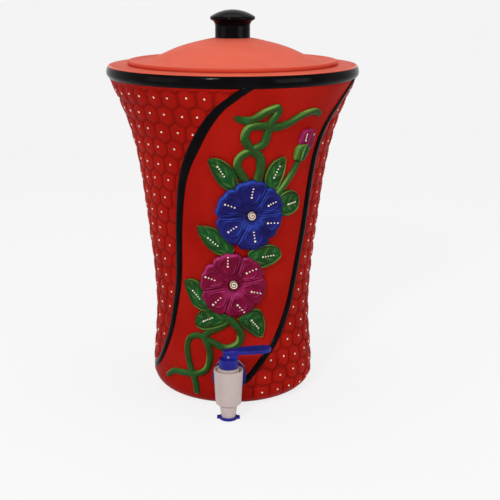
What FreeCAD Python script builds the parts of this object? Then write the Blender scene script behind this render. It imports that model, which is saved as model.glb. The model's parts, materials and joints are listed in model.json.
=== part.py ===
"""Clay water pot with a loose lid, applied flowers and a push-lever tap.

Millimetres, +Z up. The origin is the centre of the flat underside, the tap
points along -Y and its lever points along +X at rest. Places on the wall are
an angle from the tap, positive towards +X, and a share of the wall's height.
"""
import FreeCAD, Part
import math
import os

from FreeCAD import Placement, Rotation, Vector

# Pot: a turned clay wall that draws in to a waist and flares to a wide rim
pot_height = 332.0
rim_radius = 125.0
foot_radius = 82.3
foot_round = 18.0
waist_radius = 79.0
waist_height = 70.0
body_radius = 86.5
body_height = 180.0
neck_radius = 106.9
neck_drop = 47.0
flare_slope = 0.52
wall_thickness = 9.0
base_thickness = 10.0
inner_round = 10.0
mouth_radius = 95.0
rim_thickness = 9.0
rim_edge_round = 1.5

# Glossy band round the outside of the rim
rim_band_height = 12.6
rim_band_depth = 3.4
rim_band_lean = 2.8
rim_band_bulge = 0.9

# Lid: a dome inside a rolled brim, with a skirt that finds the mouth
lid_radius = 104.0
brim_thickness = 4.4
dome_rise = 25.4
dome_start = 93.0
groove_depth = 1.6
lid_thickness = 6.0
skirt_clearance = 2.0
skirt_thickness = 5.5
skirt_depth = 11.0
knob_height = 27.2
knob_stem_radius = 17.3
knob_cap_radius = 22.3
knob_cap_height = 10.0
knob_dome_rise = 6.4
knob_seat_margin = 0.6

# Raised work on the wall
slip_thickness = 0.02
band_width = 6.0
band_stand = 2.2
band_steps = 24
track_scale = 100.0
vine_width = 6.2
vine_stand = 4.2
petal_radius = 14.6
petal_stand = 6.0
dish_ball_radius = 30.0
dish_depth = 2.0
heart_radius = 8.5
heart_stand = 5.0
leaf_stand = 4.6
bud_stand = 7.0

# Tap: its shank goes level through the wall
shank_height = 36.5
shank_radius = 8.2
shank_bore_radius = 4.8
shank_hole_clearance = 0.8
shank_end_length = 3.0
outer_washer_radius = 15.7
outer_washer_thickness = 6.0
seal_washer_radius = 16.6
seal_washer_thickness = 5.5
washer_land = 0.8
neck_length = 18.0
neck_radius_tap = 10.2
gasket_radius = 14.2
gasket_thickness = 2.5
lock_washer_radius = 13.4
lock_washer_thickness = 1.5
nut_across_flats = 24.0
nut_thickness = 7.0
inner_pad_depth = 0.4

# Tap barrel, nozzle and valve
barrel_top = 51.3
barrel_top_radius = 14.3
barrel_foot = 17.3
barrel_foot_radius = 12.3
barrel_step = 2.6
nozzle_tip = 1.3
nozzle_top_radius = 8.7
nozzle_tip_radius = 6.7
nozzle_bore_radius = 4.6
seat_height = 22.0
seat_lip_radius = 6.2
seat_lip_height = 0.8
chamber_radius = 9.6
bonnet_seat = 41.5
bonnet_radius = 12.0
bonnet_top = 49.6
bonnet_floor = 2.0
collar_radius = 10.6
collar_top = 53.2
nozzle_ring_bottom = 0.7
nozzle_ring_height = 2.5
nozzle_ring_wall = 1.5
nozzle_ring_ear = 2.6
nozzle_ring_ear_width = 4.4

# Valve stem, plug, seal and spring
stem_radius = 3.0
stem_foot_radius = 4.2
stem_foot_height = 2.0
stem_neck_radius = 2.3
stem_shoulder_radius = 6.0
stem_shoulder_height = 1.8
plug_radius = 7.7
plug_height = 5.2
plug_floor = 1.5
running_fit = 0.08
seal_height = 2.3
seal_radius = 6.4
spring_radius = 4.7
spring_wire_radius = 0.45
spring_turns = 4

# Swivel cap and press lever
cap_radius = 9.2
cap_height = 9.0
cap_lift = 0.1
cap_spigot_radius = 6.5
cap_lip_radius = 7.2
cap_lip_height = 1.7
cap_edge_round = 1.0
pin_radius = 1.2
pin_rise = 2.3
tongue_thickness = 3.0
cheek_inner = 1.7
lever_root_half = 4.6
lever_half_width = 8.2
lever_length = 41.0
lever_thickness = 3.8
lever_rise_deg = 5.0
lever_root_back = 5.6
heel_reach = 7.8
press_angle_deg = 22.0
heel_clearance = 0.1

# Sizes that follow from those above
wall_top = pot_height - rim_band_height
wall_top_radius = rim_radius - rim_band_lean
rim_core_radius = rim_radius - rim_band_depth
rim_underside = pot_height - rim_thickness
neck_height = pot_height - neck_drop
axis = Vector(0, 0, 1)


def radial(radius, height):
    """A point of a profile that is turned about the pot's axis."""
    return Vector(radius, 0, height)


def wall_curve(inset):
    """The wall's outline, drawn in by inset, with its parameter equal to the height."""
    stations = [
        (foot_round, foot_radius),
        (waist_height, waist_radius),
        (body_height, body_radius),
        (neck_height, neck_radius),
        (wall_top, wall_top_radius),
    ]
    curve = Part.BSplineCurve()
    curve.interpolate(
        Points=[radial(radius - inset, height) for height, radius in stations],
        Parameters=[height for height, radius in stations],
        InitialTangent=Vector(0, 0, 1),
        FinalTangent=Vector(flare_slope, 0, 1),
        Scale=False,
    )
    return curve


outer_wall = wall_curve(0)
inner_wall = wall_curve(wall_thickness)


def wall_radius(height):
    """Outer radius of the wall at a height."""
    return outer_wall.value(height).x


def turned(edges, base=Vector(0, 0, 0)):
    """A solid of revolution about an upright axis through base."""
    face = Part.Face(Part.Wire(edges))
    solid = face.revolve(base, axis, 360)
    return Part.Solid(solid.Shells[0]) if solid.ShapeType != "Solid" else solid


def line(start, end):
    return Part.makeLine(start, end)


def arc(start, middle, end):
    return Part.Arc(start, middle, end).toShape()


def quarter(start, corner, end):
    """A quarter round from start to end, tangent to the two sides that meet in corner."""
    centre = start + end - corner
    middle = centre + (corner - centre) * math.sqrt(0.5)
    return arc(start, middle, end)


def outline(points):
    """Straight edges through points, closed."""
    return [line(points[i], points[(i + 1) % len(points)]) for i in range(len(points))]


def rod(radius, bottom, top, base=Vector(0, 0, 0)):
    """An upright cylinder on the axis through base."""
    return Part.makeCylinder(radius, top - bottom, base + Vector(0, 0, bottom))


def cone(bottom_radius, top_radius, bottom, top, base=Vector(0, 0, 0)):
    return Part.makeCone(bottom_radius, top_radius, top - bottom, base + Vector(0, 0, bottom))


def save(name, shape):
    """Write one named solid of the assembly."""
    if len(shape.Solids) != 1:
        raise ValueError(name + " has " + str(len(shape.Solids)) + " solids")
    shape = shape.Solids[0]
    if not shape.isValid() or shape.Volume <= 0:
        raise ValueError(name + " isn't a valid solid")
    shape.exportStep("parts/" + name + ".step")


def make_wall_envelope(stand):
    """The solid inside the outer wall, with the wall moved outward by stand."""
    flat = foot_radius - foot_round
    foot = foot_radius + stand
    edges = [
        line(radial(0, 0), radial(flat, 0)),
        quarter(radial(flat, 0), radial(foot, 0), radial(foot, foot_round)),
        wall_curve(-stand).toShape(),
        line(radial(wall_top_radius + stand, wall_top), radial(rim_core_radius, wall_top)),
        line(radial(rim_core_radius, wall_top), radial(rim_core_radius, pot_height)),
        line(radial(rim_core_radius, pot_height), radial(0, pot_height)),
        line(radial(0, pot_height), radial(0, 0)),
    ]
    return turned(edges)


# Flat lands outside and inside the wall, where the tap's washers bear
outer_land = math.sqrt(wall_radius(shank_height) ** 2 - (seal_washer_radius + washer_land) ** 2)
inner_radius_at_tap = wall_radius(shank_height) - wall_thickness
inner_land_radius = gasket_radius + washer_land
inner_land = math.sqrt(inner_radius_at_tap ** 2 - inner_land_radius ** 2) - inner_pad_depth
tap_shoulder = outer_land + outer_washer_thickness + seal_washer_thickness
tap_reach = tap_shoulder + neck_length
tap_base = Vector(0, -tap_reach, 0)


def level(radius, inner, outer):
    """A cylinder along the shank's axis between two distances in front of the pot's axis."""
    return Part.makeCylinder(radius, outer - inner, Vector(0, -inner, shank_height), Vector(0, -1, 0))


def make_pot_body():
    start = base_thickness + inner_round
    stop = rim_underside - rim_edge_round * 4
    floor_radius = inner_wall.value(start).x
    shoulder_radius = inner_wall.value(stop).x
    corner = shoulder_radius - (rim_underside - stop)
    edges = [
        line(radial(0, base_thickness), radial(floor_radius - inner_round, base_thickness)),
        quarter(
            radial(floor_radius - inner_round, base_thickness),
            radial(floor_radius, base_thickness),
            radial(floor_radius, start),
        ),
        inner_wall.toShape(start, stop),
        quarter(radial(shoulder_radius, stop), radial(shoulder_radius, rim_underside), radial(corner, rim_underside)),
        line(radial(corner, rim_underside), radial(mouth_radius, rim_underside)),
        line(radial(mouth_radius, rim_underside), radial(mouth_radius, pot_height - rim_edge_round)),
        quarter(
            radial(mouth_radius, pot_height - rim_edge_round),
            radial(mouth_radius, pot_height),
            radial(mouth_radius + rim_edge_round, pot_height),
        ),
        line(radial(mouth_radius + rim_edge_round, pot_height), radial(0, pot_height)),
        line(radial(0, pot_height), radial(0, base_thickness)),
    ]
    body = make_wall_envelope(0).cut(turned(edges))
    pad = level(inner_land_radius, inner_land, inner_radius_at_tap + wall_thickness / 2)
    body = body.fuse(pad)
    body = body.cut(level(seal_washer_radius + washer_land, outer_land, outer_land + wall_thickness))
    hole = level(shank_radius + shank_hole_clearance, inner_land - 1, outer_land + 1)
    return body.cut(hole).removeSplitter()


def make_rim_band():
    middle = (wall_top + pot_height) / 2
    edges = [
        line(radial(rim_core_radius, wall_top), radial(wall_top_radius, wall_top)),
        arc(
            radial(wall_top_radius, wall_top),
            radial((wall_top_radius + rim_radius) / 2 + rim_band_bulge, middle),
            radial(rim_radius, pot_height - rim_edge_round),
        ),
        line(radial(rim_radius, pot_height - rim_edge_round), radial(rim_radius - rim_edge_round, pot_height)),
        line(radial(rim_radius - rim_edge_round, pot_height), radial(rim_core_radius, pot_height)),
        line(radial(rim_core_radius, pot_height), radial(rim_core_radius, wall_top)),
    ]
    return turned(edges)


# Lid and knob
brim_top = pot_height + brim_thickness
plateau_height = pot_height + dome_rise
plateau_radius = knob_stem_radius + knob_seat_margin
groove_height = brim_top - groove_depth


def dome_curve(drop):
    """The dome's outline, lowered by drop, with its parameter equal to the radius."""
    span = dome_start - plateau_radius
    fall = plateau_height - groove_height
    stations = [
        (plateau_radius, plateau_height),
        (plateau_radius + span * 0.30, plateau_height - fall * 0.22),
        (plateau_radius + span * 0.56, plateau_height - fall * 0.50),
        (plateau_radius + span * 0.76, plateau_height - fall * 0.80),
        (dome_start, groove_height),
    ]
    curve = Part.BSplineCurve()
    curve.interpolate(
        Points=[radial(radius, height - drop) for radius, height in stations],
        Parameters=[radius for radius, height in stations],
        InitialTangent=Vector(1, 0, -0.18),
        FinalTangent=Vector(1, 0, 0),
        Scale=False,
    )
    return curve


def make_lid():
    roll = brim_thickness / 2
    skirt_radius = mouth_radius - skirt_clearance
    skirt_bore = skirt_radius - skirt_thickness
    skirt_bottom = pot_height - skirt_depth
    under = dome_curve(lid_thickness)
    plateau_under = plateau_height - lid_thickness
    under_edge = under.value(skirt_bore)
    groove_end = lid_radius - roll
    edges = [
        line(radial(0, plateau_under), radial(plateau_radius, plateau_under)),
        under.toShape(plateau_radius, skirt_bore),
        line(under_edge, radial(skirt_bore, skirt_bottom)),
        line(radial(skirt_bore, skirt_bottom), radial(skirt_radius - 1, skirt_bottom)),
        line(radial(skirt_radius - 1, skirt_bottom), radial(skirt_radius, skirt_bottom + 2)),
        line(radial(skirt_radius, skirt_bottom + 2), radial(skirt_radius, pot_height)),
        line(radial(skirt_radius, pot_height), radial(groove_end, pot_height)),
        arc(radial(groove_end, pot_height), radial(lid_radius, pot_height + roll), radial(groove_end, brim_top)),
        arc(
            radial(groove_end, brim_top),
            radial((groove_end + dome_start) / 2, groove_height + groove_depth * 0.35),
            radial(dome_start, groove_height),
        ),
        dome_curve(0).toShape(),
        line(radial(plateau_radius, plateau_height), radial(0, plateau_height)),
        line(radial(0, plateau_height), radial(0, plateau_under)),
    ]
    return turned(edges)


def make_lid_knob():
    top = plateau_height + knob_height
    dome_edge = top - knob_dome_rise
    cap_bottom = top - knob_cap_height
    shoulder = knob_cap_radius - 0.8
    sphere = (shoulder ** 2 + knob_dome_rise ** 2) / (2 * knob_dome_rise)
    half = shoulder / 2
    half_height = top - sphere + math.sqrt(sphere ** 2 - half ** 2)
    flare_start = cap_bottom - 7.0
    edges = [
        line(radial(0, plateau_height), radial(knob_stem_radius, plateau_height)),
        line(radial(knob_stem_radius, plateau_height), radial(knob_stem_radius, flare_start)),
        arc(
            radial(knob_stem_radius, flare_start),
            radial(knob_stem_radius + (shoulder - knob_stem_radius) * 0.3, cap_bottom - 2.2),
            radial(shoulder, cap_bottom),
        ),
        arc(radial(shoulder, cap_bottom), radial(knob_cap_radius, (cap_bottom + dome_edge) / 2), radial(shoulder, dome_edge)),
        arc(radial(shoulder, dome_edge), radial(half, half_height), radial(0, top)),
        line(radial(0, top), radial(0, plateau_height)),
    ]
    return turned(edges)


def on_wall(angle, share, stand=0.0):
    """A point on the wall, at an angle from the tap and a share of the wall's height."""
    height = share * wall_top
    radius = wall_radius(height) + stand
    turn = math.radians(angle)
    return Vector(radius * math.sin(turn), -radius * math.cos(turn), height)


def outward(angle):
    turn = math.radians(angle)
    return Vector(math.sin(turn), -math.cos(turn), 0)


def tangent_arc(start, apex, end):
    """The arc from start to end whose end tangents meet in apex."""
    chord_middle = (start + end) * 0.5
    half_chord = (end - start).Length / 2
    rise = (apex - chord_middle).Length
    half_turn = math.atan2(rise, half_chord) / 2
    middle = chord_middle + (apex - chord_middle) * (half_chord * math.tan(half_turn) / rise)
    return arc(start, middle, end)


def smooth_places(track, steps):
    """Evenly stepped (angle, share) places on the smooth curve through a track.

    One degree counts as one part in track_scale of the wall.
    """
    flat = Part.BSplineCurve()
    flat.interpolate([Vector(angle, share * track_scale, 0) for angle, share in track])
    span = (flat.LastParameter - flat.FirstParameter) / steps
    points = [flat.value(flat.FirstParameter + span * step) for step in range(steps + 1)]
    return [(point.x, point.y / track_scale) for point in points]


def strand(track, steps, width, stand, envelope):
    """A half-sunk round strand along a track of (angle, share) places.

    The track is smoothed and sampled in steps, and its straight runs are
    joined by tangent arcs. The ball of the section shows width across at the
    wall and stands out of it by stand.
    """
    radius = (width ** 2 / 4 + stand ** 2) / (2 * stand)
    points = [on_wall(angle, share, stand - radius) for angle, share in smooth_places(track, steps)]
    edges = []
    here = points[0]
    for before, corner, after in zip(points, points[1:], points[2:]):
        arriving = corner - before
        leaving = after - corner
        setback = 0.45 * min(arriving.Length, leaving.Length)
        bend_start = corner - arriving * (setback / arriving.Length)
        bend_end = corner + leaving * (setback / leaving.Length)
        edges.append(line(here, bend_start))
        edges.append(tangent_arc(bend_start, corner, bend_end))
        here = bend_end
    edges.append(line(here, points[-1]))
    heading = (points[1] - points[0]).normalize()
    out = outward(track[0][0])
    circle = Part.Circle(points[0], heading, radius)
    circle.XAxis = (out - heading * out.dot(heading)).normalize()
    tube = Part.Wire(edges).makePipeShell([Part.Wire([circle.toShape()])], True, False)
    return tube.cut(envelope)


def lens(angle, share, length, width, stand, lean):
    """A pointed, ridged leaf shape: what two balls share, sunk into the wall.

    lean turns its long axis from upright, positive towards +X.
    """
    radius = wall_radius(share * wall_top)
    turn = math.radians(lean)
    sag = (length / 2 * math.sin(turn)) ** 2 / (2 * radius)
    rise = stand + sag
    depth = (length ** 2 / 4 - rise ** 2) / (2 * rise)
    spread = (length ** 2 - width ** 2) / (4 * width)
    ball = math.sqrt((depth + rise) ** 2 + spread ** 2)
    out = outward(angle)
    side = axis.cross(out)
    across = side * math.cos(turn) - axis * math.sin(turn)
    centre = on_wall(angle, share) - out * (depth + sag)
    first = Part.makeSphere(ball, centre + across * spread)
    second = Part.makeSphere(ball, centre - across * spread)
    return first.common(second)


def ball_cap(angle, share, offset_deg, offset, cap_radius_at_wall, stand):
    """A ball that stands out of the wall by stand, offset from a place on the wall."""
    out = outward(angle)
    side = axis.cross(out)
    turn = math.radians(offset_deg)
    step = side * math.sin(turn) * offset + axis * math.cos(turn) * offset
    centre_radius = wall_radius(share * wall_top + step.z)
    drift = math.degrees(math.sin(turn) * offset / centre_radius)
    seat_share = share + step.z / wall_top
    ball = (cap_radius_at_wall ** 2 + stand ** 2) / (2 * stand)
    seat = on_wall(angle + drift, seat_share)
    return Part.makeSphere(ball, seat + outward(angle + drift) * (stand - ball))


def dish_ball(angle, share, offset_deg, offset):
    """The ball that hollows a petal's top and leaves its rim rolled."""
    top = ball_cap(angle, share, offset_deg, offset, petal_radius, petal_stand)
    out = outward(angle + math.degrees(math.sin(math.radians(offset_deg)) * offset / wall_radius(share * wall_top)))
    petal_ball = (petal_radius ** 2 + petal_stand ** 2) / (2 * petal_stand)
    lowest = top.BoundBox.Center + out * (petal_ball - dish_depth)
    return Part.makeSphere(dish_ball_radius, lowest + out * dish_ball_radius)


# Flowers as angle, share, the petals' distance from the heart and their bearings
flowers = {
    "flower_upper": (13.6, 0.618, 19.4, (-3, 56, 112, 175, 237, 299)),
    "flower_lower": (2.9, 0.401, 17.6, (-13, 45, 108, 166, 224, 288)),
}
# Leaves as the angle and share of the middle, length, width and lean
leaves = {
    "leaf_top_left": (-2.8, 0.743, 41.0, 18.5, -39.0),
    "leaf_top_right": (26.1, 0.744, 34.5, 17.0, 28.0),
    "leaf_side_right": (35.4, 0.648, 32.0, 24.0, 83.0),
    "leaf_middle_left": (-8.5, 0.537, 43.0, 18.0, -48.0),
    "leaf_middle_right": (22.9, 0.480, 37.0, 19.0, 75.0),
    "leaf_low_left": (-23.2, 0.357, 38.0, 17.5, -39.0),
    "leaf_foot_left": (-12.8, 0.280, 40.0, 18.0, 73.0),
    "leaf_foot_right": (15.0, 0.263, 34.5, 20.0, -50.0),
}
bud_place = (43.4, 0.845, 25.0, 20.0, 8.0)
cup_place = (40.8, 0.802, 19.0, 15.0, 8.0)
band_tracks = {
    "panel_band_left": [
        (8.9, 0.998), (-5.9, 0.931), (-19.2, 0.838), (-29.1, 0.727), (-34.1, 0.59),
        (-38.4, 0.413), (-44.7, 0.296), (-52.0, 0.188), (-65.6, 0.10), (-78.0, 0.062),
    ],
    "panel_band_right": [
        (73.6, 0.998), (64.2, 0.93), (57.6, 0.85), (55.8, 0.75), (55.6, 0.60),
        (53.4, 0.462), (47.3, 0.32), (35.4, 0.213), (22.1, 0.144), (9.5, 0.078),
    ],
}
vine_tracks = {
    "vine_top": [
        [
            (9.0, 0.700), (5.2, 0.735), (4.4, 0.77), (12.1, 0.817), (19.6, 0.85), (19.9, 0.893),
            (25.4, 0.936), (21.5, 0.951), (14.0, 0.913), (8.6, 0.905), (3.0, 0.919),
        ],
        [
            (15.4, 0.700), (18.0, 0.735), (18.2, 0.775), (12.1, 0.817), (7.2, 0.855), (10.0, 0.885),
            (22.0, 0.877), (34.3, 0.903), (45.0, 0.925), (50.6, 0.909),
        ],
    ],
    "vine_foot": [
        [
            (1.5, 0.283), (8.5, 0.24), (0.0, 0.198), (-14.1, 0.214), (-28.6, 0.226),
            (-34.0, 0.177), (-29.5, 0.107), (-23.9, 0.062),
        ],
        [
            (-4.0, 0.272), (-18.6, 0.232), (-13.8, 0.19), (-14.0, 0.134), (-25.4, 0.100),
            (-42.4, 0.094), (-53.0, 0.070),
        ],
    ],
    "bud_stem": [[(40.4, 0.785), (38.6, 0.752), (35.0, 0.720), (28.8, 0.685)]],
}


def make_corolla(place):
    """Six overlapping rounded petals, before they are trimmed to the wall."""
    angle, share, petal_offset, bearings = place
    petals = []
    dishes = []
    for bearing in bearings:
        petals.append(ball_cap(angle, share, bearing, petal_offset, petal_radius, petal_stand))
        dishes.append(dish_ball(angle, share, bearing, petal_offset))
    return petals[0].multiFuse(petals[1:]).cut(dishes)


def make_relief():
    """All the raised work: bands, flowers, leaves, bud and vines, seated on the wall."""
    envelope = make_wall_envelope(slip_thickness)
    pieces = {}
    for name, track in band_tracks.items():
        band = strand(track, band_steps, band_width, band_stand, envelope)
        pieces[name] = band.cut(rod(rim_radius * 1.2, wall_top, pot_height))
    for name, place in flowers.items():
        pieces[name] = make_corolla(place).cut(envelope)
    for name, place in flowers.items():
        heart = ball_cap(place[0], place[1], 0, 0, heart_radius, heart_stand)
        pieces[name + "_heart"] = heart.cut(envelope).cut(pieces[name])
    for name, shape in leaves.items():
        angle, share, length, width, lean = shape
        leaf = lens(angle, share, length, width, leaf_stand, lean)
        leaf = leaf.cut(envelope).cut(pieces["flower_upper"]).cut(pieces["flower_lower"])
        for other in leaves:
            if other in pieces and pieces[other].BoundBox.intersect(leaf.BoundBox):
                leaf = leaf.cut(pieces[other])
        pieces[name] = max(leaf.Solids, key=lambda solid: solid.Volume)
    bud = lens(*bud_place[:4], bud_stand, bud_place[4])
    pieces["rosebud"] = bud.cut(envelope)
    cup = lens(*cup_place[:4], bud_stand, cup_place[4])
    pieces["rosebud_cup"] = cup.cut(envelope).cut(pieces["rosebud"])
    for name, tracks in vine_tracks.items():
        strands = [strand(track, 2 * len(track), vine_width, vine_stand, envelope) for track in tracks]
        vine = strands[0].fuse(strands[1:]) if len(strands) > 1 else strands[0]
        for other in list(pieces):
            if other not in vine_tracks and pieces[other].BoundBox.intersect(vine.BoundBox):
                vine = vine.cut(pieces[other])
        pieces[name] = max(vine.Solids, key=lambda solid: solid.Volume)
    return pieces


# Tap pieces that stay with the pot
def make_tap_body():
    step_bottom = barrel_foot - barrel_step
    barrel = cone(barrel_foot_radius, barrel_top_radius, barrel_foot, barrel_top, tap_base)
    step = cone(nozzle_top_radius + 0.6, barrel_foot_radius, step_bottom, barrel_foot, tap_base)
    nozzle = cone(nozzle_tip_radius, nozzle_top_radius, nozzle_tip, step_bottom, tap_base)
    neck = level(neck_radius_tap, tap_shoulder, tap_reach - 2)
    shank_start = inner_land - gasket_thickness - lock_washer_thickness - nut_thickness - shank_end_length
    shank = level(shank_radius, shank_start, tap_shoulder)
    body = barrel.multiFuse([step, nozzle, neck, shank])
    chamber = rod(chamber_radius, seat_height, bonnet_seat, tap_base)
    bonnet_bore = rod(bonnet_radius, bonnet_seat, barrel_top + 1, tap_base)
    nozzle_bore = rod(nozzle_bore_radius, nozzle_tip - 1, seat_height + 1, tap_base)
    inlet = level(shank_bore_radius, shank_start - 1, tap_reach)
    body = body.cut(chamber).cut(bonnet_bore).cut(nozzle_bore).cut(inlet)
    lip = rod(seat_lip_radius, seat_height, seat_height + seat_lip_height, tap_base)
    lip = lip.cut(rod(nozzle_bore_radius, seat_height - 1, seat_height + 2, tap_base))
    body = body.fuse(lip).removeSplitter()
    top_edges = [edge for edge in body.Edges if edge.BoundBox.ZMin > barrel_top - 0.01]
    return body.makeFillet(0.6, top_edges)


def ring(radius, bore, inner, outer):
    return level(radius, inner, outer).cut(level(bore, inner - 1, outer + 1))


def make_lock_nut(inner):
    reach = nut_across_flats / math.sqrt(3)
    corners = []
    for corner in range(6):
        turn = math.radians(60 * corner)
        corners.append(Vector(reach * math.cos(turn), -inner, shank_height + reach * math.sin(turn)))
    prism = Part.Face(Part.Wire(outline(corners))).extrude(Vector(0, -nut_thickness, 0))
    return prism.cut(level(shank_radius, inner - 1, inner + nut_thickness + 1))


def make_bonnet():
    lower = rod(bonnet_radius, bonnet_seat, bonnet_top, tap_base)
    collar = rod(collar_radius, bonnet_top, collar_top, tap_base)
    solid = lower.fuse(collar)
    stem_hole = rod(stem_radius + running_fit, bonnet_seat - 1, collar_top + 1, tap_base)
    pocket_bottom = bonnet_seat + bonnet_floor
    pocket = rod(seal_radius, pocket_bottom, pocket_bottom + seal_height, tap_base)
    undercut_bottom = pocket_bottom + seal_height
    undercut = rod(cap_lip_radius + 0.4, undercut_bottom, undercut_bottom + cap_lip_height + 1, tap_base)
    bore = rod(cap_spigot_radius + running_fit, undercut_bottom, collar_top + 1, tap_base)
    return solid.cut(stem_hole).cut(pocket).cut(undercut).cut(bore).removeSplitter()


def make_stem_seal():
    bottom = bonnet_seat + bonnet_floor
    seal = rod(seal_radius, bottom, bottom + seal_height, tap_base)
    return seal.cut(rod(stem_radius + running_fit, bottom - 1, bottom + seal_height + 1, tap_base))


def make_nozzle_ring(tap_body):
    slope = (nozzle_top_radius - nozzle_tip_radius) / (barrel_foot - barrel_step - nozzle_tip)
    top = nozzle_ring_bottom + nozzle_ring_height
    wall = nozzle_tip_radius + slope * nozzle_ring_height + nozzle_ring_wall
    body = rod(wall, nozzle_ring_bottom, top, tap_base)
    ear = Part.makeBox(2 * (wall + nozzle_ring_ear), nozzle_ring_ear_width, nozzle_ring_height)
    ear.translate(tap_base + Vector(-wall - nozzle_ring_ear, -nozzle_ring_ear_width / 2, nozzle_ring_bottom))
    corners = [edge for edge in ear.Edges if abs(edge.BoundBox.ZLength - nozzle_ring_height) < 0.01]
    body = body.fuse(ear.makeFillet(nozzle_ring_ear_width * 0.45, corners))
    bore = rod(nozzle_tip_radius - 0.6, nozzle_ring_bottom - 1, top + 1, tap_base)
    filled = cone(nozzle_tip_radius, nozzle_top_radius, nozzle_tip, barrel_foot - barrel_step, tap_base)
    return body.cut(bore).cut(filled).removeSplitter()


# Valve pieces that rise with the stem
plug_bottom = seat_height + seat_lip_height
foot_bottom = plug_bottom + plug_floor
foot_top = foot_bottom + stem_foot_height
shoulder_bottom = plug_bottom + plug_height
shoulder_top = shoulder_bottom + stem_shoulder_height
cap_bottom = collar_top + cap_lift
cap_top = cap_bottom + cap_height
pin_height = cap_top + pin_rise
tongue_bottom = cap_top - 1.5
tongue_radius = pin_radius + 1.0


def make_valve_stem():
    rod_top = pin_height + tongue_radius
    parts = [
        rod(stem_neck_radius, foot_top, shoulder_bottom, tap_base),
        rod(stem_shoulder_radius, shoulder_bottom, shoulder_top, tap_base),
        rod(stem_radius, shoulder_top, rod_top, tap_base),
    ]
    stem = rod(stem_foot_radius, foot_bottom, foot_top, tap_base).multiFuse(parts).removeSplitter()
    flank = stem_radius * 2
    for side in (-1, 1):
        slab = Part.makeBox(flank * 2, flank, rod_top, tap_base + Vector(-flank, 0, tongue_bottom))
        slab.translate(Vector(0, tongue_thickness / 2 if side > 0 else -tongue_thickness / 2 - flank, 0))
        stem = stem.cut(slab)
    profile = [
        line(Vector(-tongue_radius, 0, 0), Vector(-tongue_radius, 0, tongue_radius * 2)),
        line(Vector(-tongue_radius, 0, tongue_radius * 2), Vector(tongue_radius, 0, tongue_radius * 2)),
        line(Vector(tongue_radius, 0, tongue_radius * 2), Vector(tongue_radius, 0, 0)),
        arc(Vector(tongue_radius, 0, 0), Vector(0, 0, tongue_radius), Vector(-tongue_radius, 0, 0)),
    ]
    crown = Part.Face(Part.Wire(profile)).extrude(Vector(0, flank, 0))
    crown.translate(tap_base + Vector(0, -flank / 2, pin_height))
    sides = Part.makeBox(flank, flank, flank, tap_base + Vector(tongue_radius, -flank / 2, pin_height))
    other = Part.makeBox(flank, flank, flank, tap_base + Vector(-tongue_radius - flank, -flank / 2, pin_height))
    stem = stem.cut(crown).cut(sides).cut(other)
    return stem.cut(cross_pin(pin_radius + running_fit, flank))


def cross_pin(radius, half_length):
    """A level pin across the tap's axis, through the lever's cheeks and the stem's tongue."""
    return Part.makeCylinder(radius, 2 * half_length, tap_base + Vector(0, -half_length, pin_height), Vector(0, 1, 0))


def make_seat_plug():
    body = rod(plug_radius, plug_bottom, plug_bottom + plug_height, tap_base)
    lower = [edge for edge in body.Edges if edge.BoundBox.ZMax < plug_bottom + 0.01]
    body = body.makeFillet(0.8, lower)
    pocket = rod(stem_foot_radius, foot_bottom, foot_top, tap_base)
    throat = rod(stem_neck_radius, foot_top, plug_bottom + plug_height + 1, tap_base)
    return body.cut(pocket).cut(throat)


def make_return_spring():
    """A coil of whole turns, its wire swept along two tangent arcs for each quarter turn."""
    bottom = shoulder_top + spring_wire_radius
    top = bonnet_seat - spring_wire_radius
    quarters = spring_turns * 4
    climb = (top - bottom) / (2 * math.pi * spring_turns)

    def station(index):
        turn = math.pi / 2 * index
        point = Vector(spring_radius * math.cos(turn), spring_radius * math.sin(turn), bottom + climb * turn)
        heading = Vector(-spring_radius * math.sin(turn), spring_radius * math.cos(turn), climb).normalize()
        return point, heading

    edges = []
    for index in range(quarters):
        start, out = station(index)
        end, into = station(index + 1)
        span = end - start
        both = out + into
        bend = 2 * (1 - out.dot(into))
        reach = (math.sqrt(span.dot(both) ** 2 + bend * span.dot(span)) - span.dot(both)) / bend
        first = start + out * reach
        second = end - into * reach
        joint = (first + second) * 0.5
        edges.append(tangent_arc(start, first, joint))
        edges.append(tangent_arc(joint, second, end))
    path = Part.Wire(edges)
    start, heading = station(0)
    section = Part.Wire([Part.makeCircle(spring_wire_radius, start, heading)])
    coil = path.makePipeShell([section], True, False)
    pitch = (top - bottom) / spring_turns
    print("spring: least gap between turns", round(pitch - 2 * spring_wire_radius, 3))
    coil.translate(tap_base)
    return coil


# Swivel cap and lever
def make_swivel_cap():
    hub = rod(cap_radius, cap_bottom, cap_top, tap_base)
    rims = [edge for edge in hub.Edges if len(edge.Vertexes) == 1]
    hub = hub.makeFillet(cap_edge_round * 0.5, rims)
    lip_bottom = bonnet_seat + bonnet_floor + seal_height + 0.5
    spigot = rod(cap_spigot_radius, lip_bottom, cap_bottom + 1, tap_base)
    lip = rod(cap_lip_radius, lip_bottom, lip_bottom + cap_lip_height - 0.4, tap_base)
    solid = hub.multiFuse([spigot, lip])
    return solid.cut(rod(stem_radius + running_fit, lip_bottom - 1, cap_top + 1, tap_base)).removeSplitter()


def heel_point(turn):
    """Where the heel touches the cap after a turn: an involute, so the stem rises evenly."""
    drop = pin_rise - heel_clearance + heel_reach * turn
    across = heel_reach * math.cos(turn) + drop * math.sin(turn)
    up = heel_reach * math.sin(turn) - drop * math.cos(turn)
    return Vector(across, 0, up)


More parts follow.
